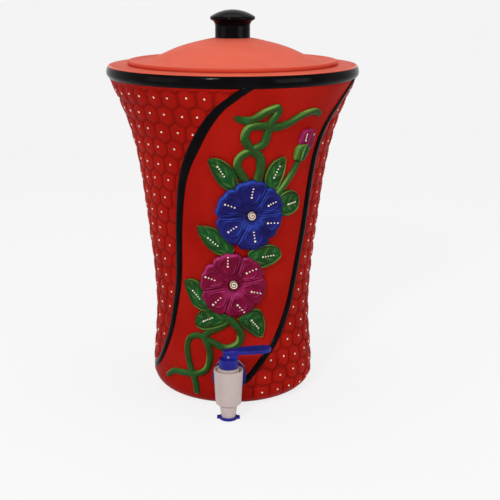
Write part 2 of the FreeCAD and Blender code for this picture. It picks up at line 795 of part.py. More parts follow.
def make_lever():
    full = math.radians(press_angle_deg)
    plate_under = tongue_radius + 0.2
    heel_bottom = -(pin_rise - heel_clearance)
    last = heel_point(full)
    side = [
        line(Vector(-3.4, 0, heel_bottom), heel_point(0)),
        arc(heel_point(0), heel_point(full / 2), last),
        line(last, Vector(last.x + 0.6, 0, plate_under + 1)),
        line(Vector(last.x + 0.6, 0, plate_under + 1), Vector(-lever_root_back + 0.4, 0, plate_under + 1)),
        line(Vector(-lever_root_back + 0.4, 0, plate_under + 1), Vector(-lever_root_back + 0.4, 0, 0)),
        line(Vector(-lever_root_back + 0.4, 0, 0), Vector(-3.4, 0, heel_bottom)),
    ]
    heel = Part.Face(Part.Wire(side)).extrude(Vector(0, 2 * lever_root_half - 0.4, 0))
    heel.translate(Vector(0, -lever_root_half + 0.2, 0))
    corner = Vector(-lever_length, -cheek_inner, plate_under - lever_length)
    slot = Part.makeBox(2 * lever_length, 2 * cheek_inner, lever_length, corner)
    heel = heel.cut(slot)
    end_start = lever_length - lever_half_width
    root = lever_root_half
    wide = lever_half_width
    widening = []
    for sign in (-1, 1):
        curve = Part.BSplineCurve()
        curve.interpolate(
            Points=[Vector(4, sign * root, 0), Vector(end_start * 0.55, sign * wide, 0)],
            InitialTangent=Vector(1, 0, 0),
            FinalTangent=Vector(1, 0, 0),
        )
        widening.append(curve.toShape())
    edges = [
        arc(Vector(-1.2, root, 0), Vector(-lever_root_back, 0, 0), Vector(-1.2, -root, 0)),
        line(Vector(-1.2, -root, 0), Vector(4, -root, 0)),
        widening[0],
        line(Vector(end_start * 0.55, -wide, 0), Vector(end_start, -wide, 0)),
        arc(Vector(end_start, -wide, 0), Vector(lever_length, 0, 0), Vector(end_start, wide, 0)),
        line(Vector(end_start, wide, 0), Vector(end_start * 0.55, wide, 0)),
        widening[1],
        line(Vector(4, root, 0), Vector(-1.2, root, 0)),
    ]
    plate = Part.Face(Part.Wire(edges)).extrude(Vector(0, 0, lever_thickness))
    plate = plate.makeFillet(1.2, [edge for edge in plate.Edges if edge.BoundBox.ZLength < 0.01])
    plate.Placement = Placement(Vector(0, 0, plate_under), Rotation(Vector(0, 1, 0), -lever_rise_deg))
    lever = plate.fuse(heel)
    lever.translate(tap_base + Vector(0, 0, pin_height))
    return lever.cut(cross_pin(pin_radius, lever_root_half + 1)).removeSplitter()


def build():
    os.makedirs("parts", exist_ok=True)
    save("pot_body", make_pot_body())
    save("rim_band", make_rim_band())
    for name, shape in make_relief().items():
        save(name, shape)
    save("lid", make_lid())
    save("lid_knob", make_lid_knob())
    tap_body = make_tap_body()
    save("tap_body", tap_body)
    save("outer_washer", ring(outer_washer_radius, shank_radius, outer_land, outer_land + outer_washer_thickness))
    save("seal_washer", ring(seal_washer_radius, shank_radius, outer_land + outer_washer_thickness, tap_shoulder))
    gasket_face = inner_land - gasket_thickness
    lock_face = gasket_face - lock_washer_thickness
    save("inner_gasket", ring(gasket_radius, shank_radius, gasket_face, inner_land))
    save("lock_washer", ring(lock_washer_radius, shank_radius, lock_face, gasket_face))
    save("lock_nut", make_lock_nut(lock_face - nut_thickness))
    save("bonnet", make_bonnet())
    save("stem_seal", make_stem_seal())
    save("nozzle_ring", make_nozzle_ring(tap_body))
    save("valve_stem", make_valve_stem())
    save("seat_plug", make_seat_plug())
    save("return_spring", make_return_spring())
    save("swivel_cap", make_swivel_cap())
    save("lever", make_lever())
    save("lever_pin", cross_pin(pin_radius, lever_root_half - 0.2))


build()
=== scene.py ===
"""Dresses the packed clay water pot for its studio picture.

Metres, +Z up, the tap points along -Y. A place on the wall is an angle in
degrees from the tap, positive towards +X, and a share of the wall's height,
as in the solids.
"""
import json
import math

import bmesh
import bpy
import numpy as np
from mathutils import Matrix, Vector


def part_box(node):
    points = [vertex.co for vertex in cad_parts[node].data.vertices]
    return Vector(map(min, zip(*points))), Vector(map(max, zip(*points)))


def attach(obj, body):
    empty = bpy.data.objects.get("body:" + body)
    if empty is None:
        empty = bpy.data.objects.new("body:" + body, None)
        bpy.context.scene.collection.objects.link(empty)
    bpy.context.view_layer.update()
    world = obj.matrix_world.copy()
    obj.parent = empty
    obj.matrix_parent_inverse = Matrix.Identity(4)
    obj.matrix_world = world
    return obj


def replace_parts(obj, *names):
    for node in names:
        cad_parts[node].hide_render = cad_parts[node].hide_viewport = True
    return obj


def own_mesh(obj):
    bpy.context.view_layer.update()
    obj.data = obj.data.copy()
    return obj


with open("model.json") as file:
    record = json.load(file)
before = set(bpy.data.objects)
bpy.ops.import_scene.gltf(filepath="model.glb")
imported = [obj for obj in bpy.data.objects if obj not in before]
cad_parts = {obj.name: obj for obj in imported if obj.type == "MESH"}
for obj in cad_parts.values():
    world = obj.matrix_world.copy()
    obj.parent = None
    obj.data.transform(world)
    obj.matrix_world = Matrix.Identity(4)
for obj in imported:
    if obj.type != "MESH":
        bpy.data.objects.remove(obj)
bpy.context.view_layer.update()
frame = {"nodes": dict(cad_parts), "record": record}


# Pot wall: a flared pot thrown in clay, its rim turned out into a flange. The
# outside is hammered with a round tool into staggered cells, all but a smooth
# front panel, and painted satin red, with painted shade in the grooves between
# the cells; the inside and the base are bare clay.
wall_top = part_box("rim_band")[0][2]
rim_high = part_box("rim_band")[1][2]
foot_round = 0.018
least_radius = 0.0745
tap_side = 20.0
wall_thickness = 0.009
base_thickness = 0.010
inner_top = 0.3145
inner_foot = 0.020
inner_round = 0.010
mouth_radius = 0.095
rim_underside = 0.323
rim_core = 0.1216
rim_edge = 0.0015
cell_width = 0.0176
cell_rise = 0.0164
top_row = 0.3084
groove_depth = 0.0012
groove_width = 0.0038
dome_height = 0.0009
dome_reach = 0.0098
panel_columns = 90
skin_columns = 402
skin_rows = 184
tap_height = 0.0365
outer_land = 0.0795
outer_land_radius = 0.0174
inner_land = 0.0701
inner_land_radius = 0.0150
coral_paint = ((0.73, 0.118, 0.066), (0.79, 0.145, 0.084), (0.65, 0.097, 0.053), 14.0, 0.5)
band_left = [
    (12.0, 1.016), (3.0, 0.977), (-6.1, 0.928), (-17.2, 0.838), (-27.9, 0.727), (-33.9, 0.588), (-38.4, 0.413),
    (-44.7, 0.296), (-51.4, 0.20), (-62.4, 0.112), (-78.0, 0.062),
]
band_right = [
    (76.0, 1.016), (66.9, 0.94), (59.6, 0.872), (56.7, 0.80), (56.0, 0.70), (55.4, 0.58), (53.0, 0.47), (47.4, 0.325),
    (36.0, 0.216), (22.1, 0.144), (9.5, 0.078),
]


def read_wall():
    """The wall's outer radius as a smooth curve of the height, through the clay solid's own points."""
    mesh = frame["nodes"]["pot_body"].data
    points = np.empty(len(mesh.vertices) * 3)
    mesh.vertices.foreach_get("co", points)
    x, y, z = points.reshape(-1, 3).T
    reach = np.hypot(x, y)
    turn = np.degrees(np.arctan2(x, -y))
    outside = (z > foot_round - 1e-4) & (z < wall_top + 1e-4) & (np.abs(turn) > tap_side) & (reach > least_radius)
    heights = z[outside]
    radii = reach[outside]
    for slack in (0.02, 0.006, 0.002, 0.001):
        near = radii > np.polynomial.Polynomial.fit(heights, radii, 9)(heights) - slack
        heights = heights[near]
        radii = radii[near]
    return np.polynomial.Polynomial.fit(heights, radii, 9)


wall_line = read_wall()


def wall_radius(heights):
    """The wall line, drawn in along a quarter circle below the round of the foot."""
    heights = np.asarray(heights, dtype=float)
    below = np.clip(foot_round - heights, 0.0, foot_round)
    return wall_line(np.clip(heights, foot_round, wall_top)) - foot_round + np.sqrt(foot_round ** 2 - below ** 2)


def on_wall(angles, heights, stand):
    """Points at angles round the axis and heights, the wall's radius plus stand away from it."""
    turn = np.radians(angles)
    radius = wall_radius(heights) + stand
    return np.stack([radius * np.sin(turn), -radius * np.cos(turn), heights + 0.0 * radius], axis=-1)


def ease(low, high, values):
    """A smooth step from 0 at low to 1 at high, flat at both ends."""
    t = np.clip((values - low) / (high - low), 0.0, 1.0)
    return t * t * (3 - 2 * t)


def turned(table, turns):
    """Rings round the axis, one for each (radius, height) of a table."""
    radii = table[:, 0, None]
    return np.stack([radii * np.sin(turns), -radii * np.cos(turns), table[:, 1, None] + 0.0 * turns], axis=-1)


def along(places, count):
    """Evenly counted points on the smooth curve whose tangents join each place's neighbours."""
    places = np.array(places, dtype=float)
    padded = np.vstack([2 * places[0] - places[1], places, 2 * places[-1] - places[-2]])
    spot = np.linspace(0, len(places) - 1, count)
    index = np.minimum(spot.astype(int), len(places) - 2)
    t = (spot - index)[:, None]
    a, b, c, d = (padded[index + step] for step in range(4))
    return (2 * b + (c - a) * t + (2 * a - 5 * b + 4 * c - d) * t ** 2 + (3 * b - a - 3 * c + d) * t ** 3) / 2


def grid_faces(rows, columns, closed_round=True):
    """Quads over rows by columns of points, counted row by row, that may close round."""
    row = np.arange(rows - 1)
    column = np.arange(columns if closed_round else columns - 1)
    r, c = np.meshgrid(row, column, indexing="ij")
    after = (c + 1) % columns
    return np.stack([r * columns + c, r * columns + after, (r + 1) * columns + after, (r + 1) * columns + c],
                    axis=-1).reshape(-1, 4)


def make_piece(name, points, faces, material, body, layers=None):
    """A piece from points and faces, with its doubles merged and its faces outward, riding on a body."""
    mesh = bpy.data.meshes.new(name)
    mesh.from_pydata(points.reshape(-1, 3), [], faces)
    for label, values in (layers or {}).items():
        layer = mesh.attributes.new(label, "FLOAT", "POINT")
        layer.data.foreach_set("value", np.asarray(values, dtype=np.float32).ravel())
    work = bmesh.new()
    work.from_mesh(mesh)
    bmesh.ops.remove_doubles(work, verts=work.verts, dist=1e-6)
    bmesh.ops.recalc_face_normals(work, faces=work.faces)
    work.to_mesh(mesh)
    work.free()
    mesh.polygons.foreach_set("use_smooth", np.ones(len(mesh.polygons), dtype=bool))
    mesh.materials.append(material)
    piece = bpy.data.objects.new(name, mesh)
    bpy.context.scene.collection.objects.link(piece)
    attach(piece, body)
    return piece


def add_node(tree, kind, **settings):
    node = tree.nodes.new(kind)
    for key, value in settings.items():
        if key in node.inputs:
            node.inputs[key].default_value = value
        else:
            setattr(node, key, value)
    return node


def new_material(name, roughness, specular=0.5):
    material = bpy.data.materials.new(name)
    material.use_nodes = True
    shader = material.node_tree.nodes["Principled BSDF"]
    shader.inputs["Roughness"].default_value = roughness
    shader.inputs["Specular IOR Level"].default_value = specular
    return material, material.node_tree, shader


def join(tree, *pairs):
    """Links the first socket of each pair into the second."""
    for start, end in pairs:
        tree.links.new(start, end)


def ranged(tree, value, **ends):
    """The value carried evenly from one range to another, 0 to 1 unless an end is given, and held there."""
    ends = {label.replace("_", " ").title(): end for label, end in ends.items()}
    node = add_node(tree, "ShaderNodeMapRange", **ends)
    join(tree, (value, node.inputs["Value"]))
    return node.outputs["Result"]


def mixed(tree, factor, first, second):
    """The colour that factor blends from first to second; each is a socket or a colour."""
    mix = add_node(tree, "ShaderNodeMix", data_type="RGBA")
    join(tree, (factor, mix.inputs["Factor"]))
    for socket, colour in ((mix.inputs[6], first), (mix.inputs[7], second)):
        if isinstance(colour, tuple):
            socket.default_value = (*colour, 1.0)
        else:
            join(tree, (colour, socket))
    return mix.outputs[2]


def make_brushed_paint():
    """A group for hand-brushed paint: broad light and dark patches, brush grain in the gloss and a fine bump."""
    group = bpy.data.node_groups.new("brushed_paint", "ShaderNodeTree")
    for in_out, kind, labels in (
        ("INPUT", "Color", ("Base", "Light", "Dark")), ("INPUT", "Float", ("Scale", "Roughness")),
        ("OUTPUT", "Color", ("Colour",)), ("OUTPUT", "Float", ("Roughness",)), ("OUTPUT", "Vector", ("Normal",)),
    ):
        for label in labels:
            group.interface.new_socket(label, in_out=in_out, socket_type="NodeSocket" + kind)
    given = add_node(group, "NodeGroupInput").outputs
    result = add_node(group, "NodeGroupOutput").inputs
    place = add_node(group, "ShaderNodeTexCoord").outputs["Object"]
    broad = add_node(group, "ShaderNodeTexNoise", Detail=4.0, Roughness=0.55)
    grain = add_node(group, "ShaderNodeTexNoise", Scale=700.0, Detail=5.0, Roughness=0.6)
    gloss = add_node(group, "ShaderNodeMath", operation="ADD")
    bump = add_node(group, "ShaderNodeBump", Strength=0.12, Distance=0.0004)
    patches = broad.outputs["Fac"]
    lighter = mixed(group, ranged(group, patches, from_min=0.50, from_max=0.76), given["Base"], given["Light"])
    darker = mixed(group, ranged(group, patches, from_min=0.50, from_max=0.26), lighter, given["Dark"])
    join(
        group, (place, broad.inputs["Vector"]), (place, grain.inputs["Vector"]),
        (given["Scale"], broad.inputs["Scale"]), (given["Roughness"], gloss.inputs[1]),
        (ranged(group, patches, to_min=-0.08, to_max=0.08), gloss.inputs[0]),
        (grain.outputs["Fac"], bump.inputs["Height"]), (darker, result["Colour"]),
        (gloss.outputs[0], result["Roughness"]), (bump.outputs["Normal"], result["Normal"]),
    )
    return group


brushed_paint = make_brushed_paint()


def brushed(tree, base, light, dark, scale, roughness):
    """A brushed paint node with its three near colours, the size of its patches and its roughness."""
    node = add_node(tree, "ShaderNodeGroup", node_tree=brushed_paint)
    for label, colour in (("Base", base), ("Light", light), ("Dark", dark)):
        node.inputs[label].default_value = (*colour, 1.0)
    node.inputs["Scale"].default_value = scale
    node.inputs["Roughness"].default_value = roughness
    return node


def coat(tree, shader, paint, colour=None, grain=True):
    """Joins a brushed paint to a shader: its gloss, its grain if asked, and its colour or the one given."""
    join(tree, (paint.outputs["Colour"] if colour is None else colour, shader.inputs["Base Color"]),
         (paint.outputs["Roughness"], shader.inputs["Roughness"]))
    if grain:
        join(tree, (paint.outputs["Normal"], shader.inputs["Normal"]))


def layer_value(tree, label):
    return add_node(tree, "ShaderNodeAttribute", attribute_name=label).outputs["Fac"]


def red_clay_material():
    material, tree, shader = new_material("red_painted_clay", 0.5, 0.016)
    red = brushed(tree, (0.350, 0.0080, 0.0042), (0.405, 0.0125, 0.0065), (0.280, 0.0058, 0.0032), 16.0, 0.42)
    coral = brushed(tree, *coral_paint)
    bare = brushed(tree, (0.40, 0.15, 0.070), (0.48, 0.20, 0.10), (0.30, 0.105, 0.045), 60.0, 0.85)
    # Painted shade: the groove layer darkens the grooves between the hammered cells toward a deep red.
    worked = mixed(tree, layer_value(tree, "groove"), red.outputs["Colour"], (0.14, 0.0034, 0.0024))
    rimmed = mixed(tree, layer_value(tree, "coral"), worked, coral.outputs["Colour"])
    coat(tree, shader, red, mixed(tree, layer_value(tree, "bare"), rimmed, bare.outputs["Colour"]))
    gloss = add_node(tree, "ShaderNodeMix")
    join(tree, (layer_value(tree, "bare"), gloss.inputs["Factor"]), (red.outputs["Roughness"], gloss.inputs[2]),
         (bare.outputs["Roughness"], gloss.inputs[3]), (gloss.outputs[0], shader.inputs["Roughness"]))
    return material


def band_angles(track, heights):
    """The angle of a band's middle at each height, read off its smooth track."""
    track = along(track, 400)[::-1]
    return np.interp(heights / wall_top, track[:, 1], track[:, 0])


def cell_row(rows):
    """How many cells go round in a row, counted down from the rim, and the share of a cell that it is turned by."""
    return np.round(2 * math.pi * wall_radius(top_row - cell_rise * rows) / cell_width), np.mod(0.78 - 0.28 * rows, 1.0)


def cell_centres(rows, columns):
    """A cell's centre as an angle and a height: its place in its row, each a little off."""
    count, turned_by = cell_row(rows)
    aside = np.sin(rows * 12.9898 + columns * 78.233) * 43758.5453
    above = np.sin(rows * 39.346 + columns * 11.135) * 24634.6345
    across = columns + turned_by + 0.22 * (aside - np.floor(aside) - 0.5)
    return across / count * 360.0, top_row - cell_rise * (rows + 0.14 * (above - np.floor(above) - 0.5))


def cell_gaps(angles, heights):
    """Distances along the wall to the nearest and to the second nearest cell centre."""
    reach = wall_radius(heights)
    row = np.round((top_row - heights) / cell_rise)
    nearest = np.full(angles.shape, 1.0)
    second = np.full(angles.shape, 1.0)
    for row_step in (-1, 0, 1):
        rows = row + row_step
        count, turned_by = cell_row(rows)
        for column_step in (-1, 0, 1):
            columns = np.round(np.mod(angles, 360.0) / 360.0 * count - turned_by) + column_step
            centre_angle, centre_height = cell_centres(rows, np.mod(columns, count))
            apart = np.mod(angles - centre_angle + 180.0, 360.0) - 180.0
            gap = np.hypot(np.radians(apart) * reach, heights - centre_height)
            second = np.minimum(second, np.maximum(nearest, gap))
            nearest = np.minimum(nearest, gap)
    return nearest, second


def make_pot_shell():
    """One closed turned surface: base, outer wall, flange, mouth, inner wall and floor, row after row.

    On the outer wall a point stands out by its cell's dome and in by the
    groove, a smooth step of the difference of its two nearest distances.
    """
    heights = np.linspace(0.0, wall_top, skin_rows)
    left = band_angles(band_left, heights)[:, None]
    right = band_angles(band_right, heights)[:, None]
    across_panel = np.arange(panel_columns) / panel_columns
    across_skin = np.arange(skin_columns) / skin_columns
    angles = np.hstack([left + (right - left) * across_panel, right + (left + 360.0 - right) * across_skin])
    level = np.repeat(heights[:, None], angles.shape[1], axis=1)
    nearest, second = cell_gaps(angles, level)
    groove = 1.0 - ease(0.0002, groove_width, second - nearest)
    dome = np.clip(1.0 - (nearest / dome_reach) ** 2, 0.0, 1.0)
    worked = np.zeros(angles.shape)
    worked[:, panel_columns:] = ease(2.0, 5.0, skin_columns * np.minimum(across_skin, 1 - across_skin))
    worked *= ease(0.004, 0.014, level) * (1 - ease(wall_top - 0.003, wall_top - 0.0005, level))
    wall = on_wall(angles, level, worked * (dome_height * dome - groove_depth * groove))

    floor_radius = float(wall_radius(inner_foot)) - wall_thickness
    rings = [
        (float(wall_radius(wall_top)) - 0.0002, wall_top + 0.0002),
        (rim_core, wall_top + 0.0003),
        (rim_core, rim_high),
        (rim_core - 0.004, rim_high),
        (mouth_radius + 0.010, rim_high),
        (mouth_radius + rim_edge, rim_high),
        (mouth_radius + rim_edge * 0.3, rim_high - rim_edge * 0.3),
        (mouth_radius, rim_high - rim_edge),
        (mouth_radius, rim_underside),
        (mouth_radius + 0.008, rim_underside),
        (float(wall_radius(inner_top)) - wall_thickness - 0.003, rim_underside - 0.001),
    ]
    coral_rings = len(rings) - 2
    rings += [(float(wall_radius(h)) - wall_thickness, h) for h in np.linspace(inner_top, inner_foot, 28)]
    rings += [
        (floor_radius - inner_round * (1 - math.cos(turn)), inner_foot - inner_round * math.sin(turn))
        for turn in np.radians([30, 60, 90])
    ]
    rings += [(floor_radius * 0.5, base_thickness), (0.0005, base_thickness)]
    rings = np.array(rings)
    feet = np.array([(0.0005, 0.0), (0.03, 0.0), (float(wall_radius(0.0)) - 0.002, 0.0)])
    points = np.concatenate([turned(feet, np.radians(angles[0])), wall, turned(rings, np.radians(angles[-1]))])
    first_ring = len(feet) + skin_rows
    outside = (np.arange(len(points)) < first_ring)[:, None]
    from_tap = np.hypot(points[..., 0], points[..., 2] - tap_height)
    front = points[..., 1] < 0
    lands = ((outside, outer_land, outer_land_radius), (~outside, inner_land, inner_land_radius))
    for side, land, land_radius in lands:
        flat = front & side & (from_tap < land_radius)
        points[..., 1] = np.where(flat, np.maximum(points[..., 1], -land), points[..., 1])

    rows, columns = points.shape[:2]
    layers = {label: np.zeros((rows, columns)) for label in ("groove", "coral", "bare")}
    # Painted shade in the grooves between the cells.
    layers["groove"][len(feet):first_ring] = 0.7 * worked * groove
    layers["coral"][first_ring:first_ring + coral_rings] = 1.0
    layers["bare"][first_ring + coral_rings:] = 1.0
    layers["bare"][:len(feet)] = 1.0
    last = (rows - 1) * columns
    faces = grid_faces(rows, columns).tolist()
    faces += [list(range(columns - 1, -1, -1)), list(range(last, last + columns))]
    return make_piece("pot_shell", points, faces, red_clay_material(), "pot", layers)


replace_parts(make_pot_shell(), "pot_body")


# Pearls: drops of cream slip, set with a nozzle on every hammered cell and in
# short lines on the petals and leaves. One drop is a low dome with its foot
# in the clay.
cell_rows = 19
band_clearance = 0.007
drop_radius = 0.00105
drop_columns = 8
drops = []


def pearl_material():
    material, tree, shader = new_material("cream_pearl", 0.35, 0.4)
    cream = brushed(tree, (0.86, 0.74, 0.58), (0.92, 0.84, 0.72), (0.74, 0.60, 0.46), 300.0, 0.35)
    coat(tree, shader, cream, grain=False)
    return material


cream_pearl = pearl_material()


def drop(angle, height, stand, size=1.0):
    drops.append((angle, height, stand, size))


def drop_line(start, end, count, sizes, stand_at):
    """Drops evenly between two (angle, share) places, with a size for the first and one for the rest."""
    for step in range(count):
        angle, share = (a + (b - a) * step / (count - 1) for a, b in zip(start, end))
        drop(angle, share * wall_top, stand_at(angle, share * wall_top), sizes[min(step, 1)])


def drop_cells():
    """One drop a little above the middle of each cell that lies clear of the bands and the rim."""
    table = [(row, column) for row in range(cell_rows) for column in range(int(cell_row(row)[0]))]
    rows, columns = np.array(table, dtype=float).T
    angles, heights = cell_centres(rows, columns)
    heights = heights + 0.0008
    left = band_angles(band_left, heights)
    right = band_angles(band_right, heights)
    reach = wall_radius(heights)
    past_right = np.radians(np.mod(angles - right, 360.0)) * reach
    past_left = np.radians(np.mod(left - angles, 360.0)) * reach
    clear = (past_right > band_clearance) & (past_left > band_clearance)
    clear &= (np.mod(angles - right, 360.0) < np.mod(left - right, 360.0))
    clear &= (heights > 0.012) & (heights < wall_top - 0.006)
    for angle, height in zip(angles[clear], heights[clear]):
        drop(float(angle), float(height), dome_height)


def make_pearls():
    """Each drop is four rings of a dome: radius times the sine, stand times the cosine of the way down."""
    table = np.array(drops)
    turns = np.arange(drop_columns) * 2 * math.pi / drop_columns
    rings = np.array([(0.05, 0.62), (0.62, 0.50), (0.95, 0.20), (1.0, -0.25)])
    size = table[:, 3, None, None] * drop_radius
    aside = size * rings[None, :, 0, None] * np.sin(turns)
    above = size * rings[None, :, 0, None] * np.cos(turns)
    stand = table[:, 2, None, None] + size * rings[None, :, 1, None] + 0.0 * aside
    heights = table[:, 1, None, None] + above
    angles = table[:, 0, None, None] + np.degrees(aside / wall_radius(heights))
    points = on_wall(angles, heights, stand)
    one = grid_faces(len(rings), drop_columns)
    count = len(rings) * drop_columns
    quads = (one[None] + (np.arange(len(table)) * count)[:, None, None]).reshape(-1, 4)
    caps = np.array([list(range(drop_columns))[::-1], list(range(count - drop_columns, count))])
    caps = (caps[None] + (np.arange(len(table)) * count)[:, None, None]).reshape(-1, drop_columns)
    return make_piece("pearl_drops", points, quads.tolist() + caps.tolist(), cream_pearl, "pot")


drop_cells()


# Rim edge and knob: a turned bead round the rim, its outside rounded over,
# and a turned knob, both in black gloss enamel. The top of the rim stays coral.
rim_columns = 240


def enamel_material(name, rim=False):
    material, tree, shader = new_material(name, 0.2, 0.04)
    black = brushed(tree, (0.0022, 0.0014, 0.0020), (0.0042, 0.0032, 0.0046), (0.0012, 0.0009, 0.0012), 45.0, 0.12)
    coat(tree, shader, black)
    if rim:
        coral = brushed(tree, *coral_paint)
        parts = add_node(tree, "ShaderNodeSeparateXYZ")
        join(tree, (add_node(tree, "ShaderNodeTexCoord").outputs["Object"], parts.inputs[0]))
        flat_top = ranged(tree, parts.outputs["Z"], from_min=rim_high - 0.0013, from_max=rim_high - 0.0009)
        colour = mixed(tree, flat_top, black.outputs["Colour"], coral.outputs["Colour"])
        join(tree, (colour, shader.inputs["Base Color"]))
    return material


def dress(node, material):
    """Puts a material in the one slot of a node of the frame."""
    mesh = frame["nodes"][node].data
    mesh.materials.clear()
    mesh.materials.append(material)


black_enamel = enamel_material("black_enamel")
dress("lid_knob", black_enamel)


def circle(count):
    """Evenly counted turns round a circle, from 0 on."""
    return np.linspace(0, 2 * math.pi, count, endpoint=False)


def make_rim():
    """A turned ring: a quarter ellipse from the flat top out to the widest line, then a soft curve in to the wall."""
    widest = -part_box("rim_band")[0][0]
    level = wall_top + 0.0052
    over = np.linspace(0, math.pi / 2, 14)
    under = np.linspace(0, 1, 8)[1:]
    wall = float(wall_radius(wall_top))
    radii = [rim_core + (widest - rim_core) * np.sin(over), widest - (widest - wall) * under ** 1.8, [rim_core]]
    heights = [level + (rim_high - level) * np.cos(over), level - (level - wall_top) * under, [wall_top]]
    points = turned(np.stack([np.concatenate(radii), np.concatenate(heights)], axis=-1), circle(rim_columns))
    points = np.concatenate([points, points[:1]])
    return make_piece("rim_bead", points, grid_faces(len(points), rim_columns).tolist(),
                      enamel_material("rim_enamel", rim=True), "pot")


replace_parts(make_rim(), "rim_band")


# Bands: two flat coils of clay pressed on in an S from the rim to the foot,
# either side of the smooth panel, broadest below the rim, in the same enamel.
band_crest = 0.0022
coil_rows = 190
coil_columns = 18
light_from = (-0.6, 0.8)
band_widths = {
    "panel_band_left": (band_left, ((0.0, 0.10, 0.24, 0.42, 1.0), (0.0064, 0.0076, 0.0102, 0.0082, 0.0066))),
    "panel_band_right": (band_right, ((0.0, 0.12, 0.5, 0.75, 1.0), (0.0052, 0.0078, 0.0084, 0.0074, 0.0060))),
}


def coil(places, widths, crest):
    """A half-round coil on the wall: half an ellipse across, with a width along it and a crest in proportion.

    Returns its points, and the way along and the side across in metres. The
    fourth value is how much of each point's side looks up and to the left.
    """
    line = along(places, coil_rows)
    heights = line[:, 1] * wall_top
    radius = wall_radius(heights)
    flat = np.stack([np.radians(line[:, 0]) * radius, heights], axis=-1)
    step = np.gradient(flat, axis=0)
    step /= np.linalg.norm(step, axis=1, keepdims=True)
    length = np.concatenate([[0], np.cumsum(np.linalg.norm(np.diff(flat, axis=0), axis=1))])
    part = length / length[-1]
    half = np.interp(part, *widths) / 2 * np.sqrt(np.clip((1 - part) / 0.02, 0.03, 1.0))
    turns = circle(coil_columns)
    side = np.cos(turns)
    aside = half[:, None] * side
    rise = np.where(np.sin(turns) > 0, crest * (half / half.max())[:, None] * np.sin(turns), 0.0008 * np.sin(turns))
    angles = line[:, 0, None] + np.degrees(aside * step[:, 1, None] / radius[:, None])
    level = heights[:, None] - aside * step[:, 0, None]
    lit = side * (light_from[0] * step[:, 1, None] - light_from[1] * step[:, 0, None])
    return on_wall(angles, level, rise), length[:, None] + 0.0 * side, aside, lit


def tube_faces(rows, columns, first=0):
    """Quads round a closed tube and a face over each of its ends."""
    last = first + (rows - 1) * columns
    faces = (grid_faces(rows, columns) + first).tolist()
    return faces + [list(range(first, first + columns)), list(range(last, last + columns))]


for name, (track, widths) in band_widths.items():
    points = coil(track, widths, band_crest)[0]
    piece = make_piece(name + "_coil", points, tube_faces(*points.shape[:2]), black_enamel, "pot")
    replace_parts(piece, name)


# Lid: a turned clay dome with a stepped brim and fine turning marks, in satin
# coral paint, with painted shade on the brim's edge.
lid_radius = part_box("lid")[1][0]


def lid_material():
    material, tree, shader = new_material("coral_paint", 0.5, 0.03)
    coral = brushed(tree, (0.775, 0.138, 0.086), (0.83, 0.17, 0.11), (0.69, 0.112, 0.067), 11.0, 0.50)
    length = add_node(tree, "ShaderNodeVectorMath", operation="LENGTH")
    flat = add_node(tree, "ShaderNodeVectorMath", operation="MULTIPLY")
    flat.inputs[1].default_value = (1.0, 1.0, 0.0)
    rings = add_node(tree, "ShaderNodeTexNoise", noise_dimensions="1D", Scale=900.0, Detail=2.0)
    bump = add_node(tree, "ShaderNodeBump", Strength=0.10, Distance=0.0005)
    join(tree, (add_node(tree, "ShaderNodeTexCoord").outputs["Object"], flat.inputs[0]),
         (flat.outputs[0], length.inputs[0]), (length.outputs["Value"], rings.inputs["W"]),
         (rings.outputs["Fac"], bump.inputs["Height"]), (coral.outputs["Normal"], bump.inputs["Normal"]))
    # Painted shade: the brim's outer edge is darkened.
    edge = ranged(tree, length.outputs["Value"], from_min=lid_radius - 0.0016, from_max=lid_radius - 0.0002)
    coat(tree, shader, coral, mixed(tree, edge, coral.outputs["Colour"], (0.60, 0.068, 0.037)), grain=False)
    join(tree, (bump.outputs["Normal"], shader.inputs["Normal"]))
    return material


dress("lid", lid_material())


# Flowers: two open blossoms of pressed clay, six broad petals round a sunk
# throat, with rolled edges, a rounded fold in each petal and flutes between
# them. Satin enamel, with painted highlight on the lines that look up and to the
# left and painted shade on those that look away, in the notches and round the
# heart. Each is given as its eye, its petals as degrees from the top and
# millimetres out, and the two ends of the line of drops on each petal.
flower_places = {
    "flower_upper": (
        (13.8, 0.6171), ((357, 35.2), (56, 31.2), (112, 29.4), (175, 33.2), (237, 33.2), (299, 34.6)),
        (((12.9, 0.6756), (13.6, 0.7027)), ((23.2, 0.6475), (27.3, 0.6584)), ((23.5, 0.593), (29.4, 0.5923)),
         ((15.8, 0.5395), (14.9, 0.5674)), ((-0.4, 0.5707), (4.2, 0.5863)), ((-2.2, 0.6565), (3.3, 0.646))),
    ),
    "flower_lower": (
        (3.0, 0.3994), ((347, 32.8), (45, 31.0), (108, 30.2), (166, 31.8), (224, 33.4), (288, 31.4)),
        (((-0.9, 0.4605), (-0.8, 0.4907)), ((11.1, 0.4383), (16.9, 0.4517)), ((14.7, 0.3775), (20.3, 0.372)),
         ((5.4, 0.3359), (9.7, 0.3147)), ((-10.7, 0.3371), (-5.9, 0.3584)), ((-15.2, 0.4251), (-9.6, 0.4151))),
    ),
}
petal_span = math.radians(30)
slope_step = 0.0004
sunk = 0.0006


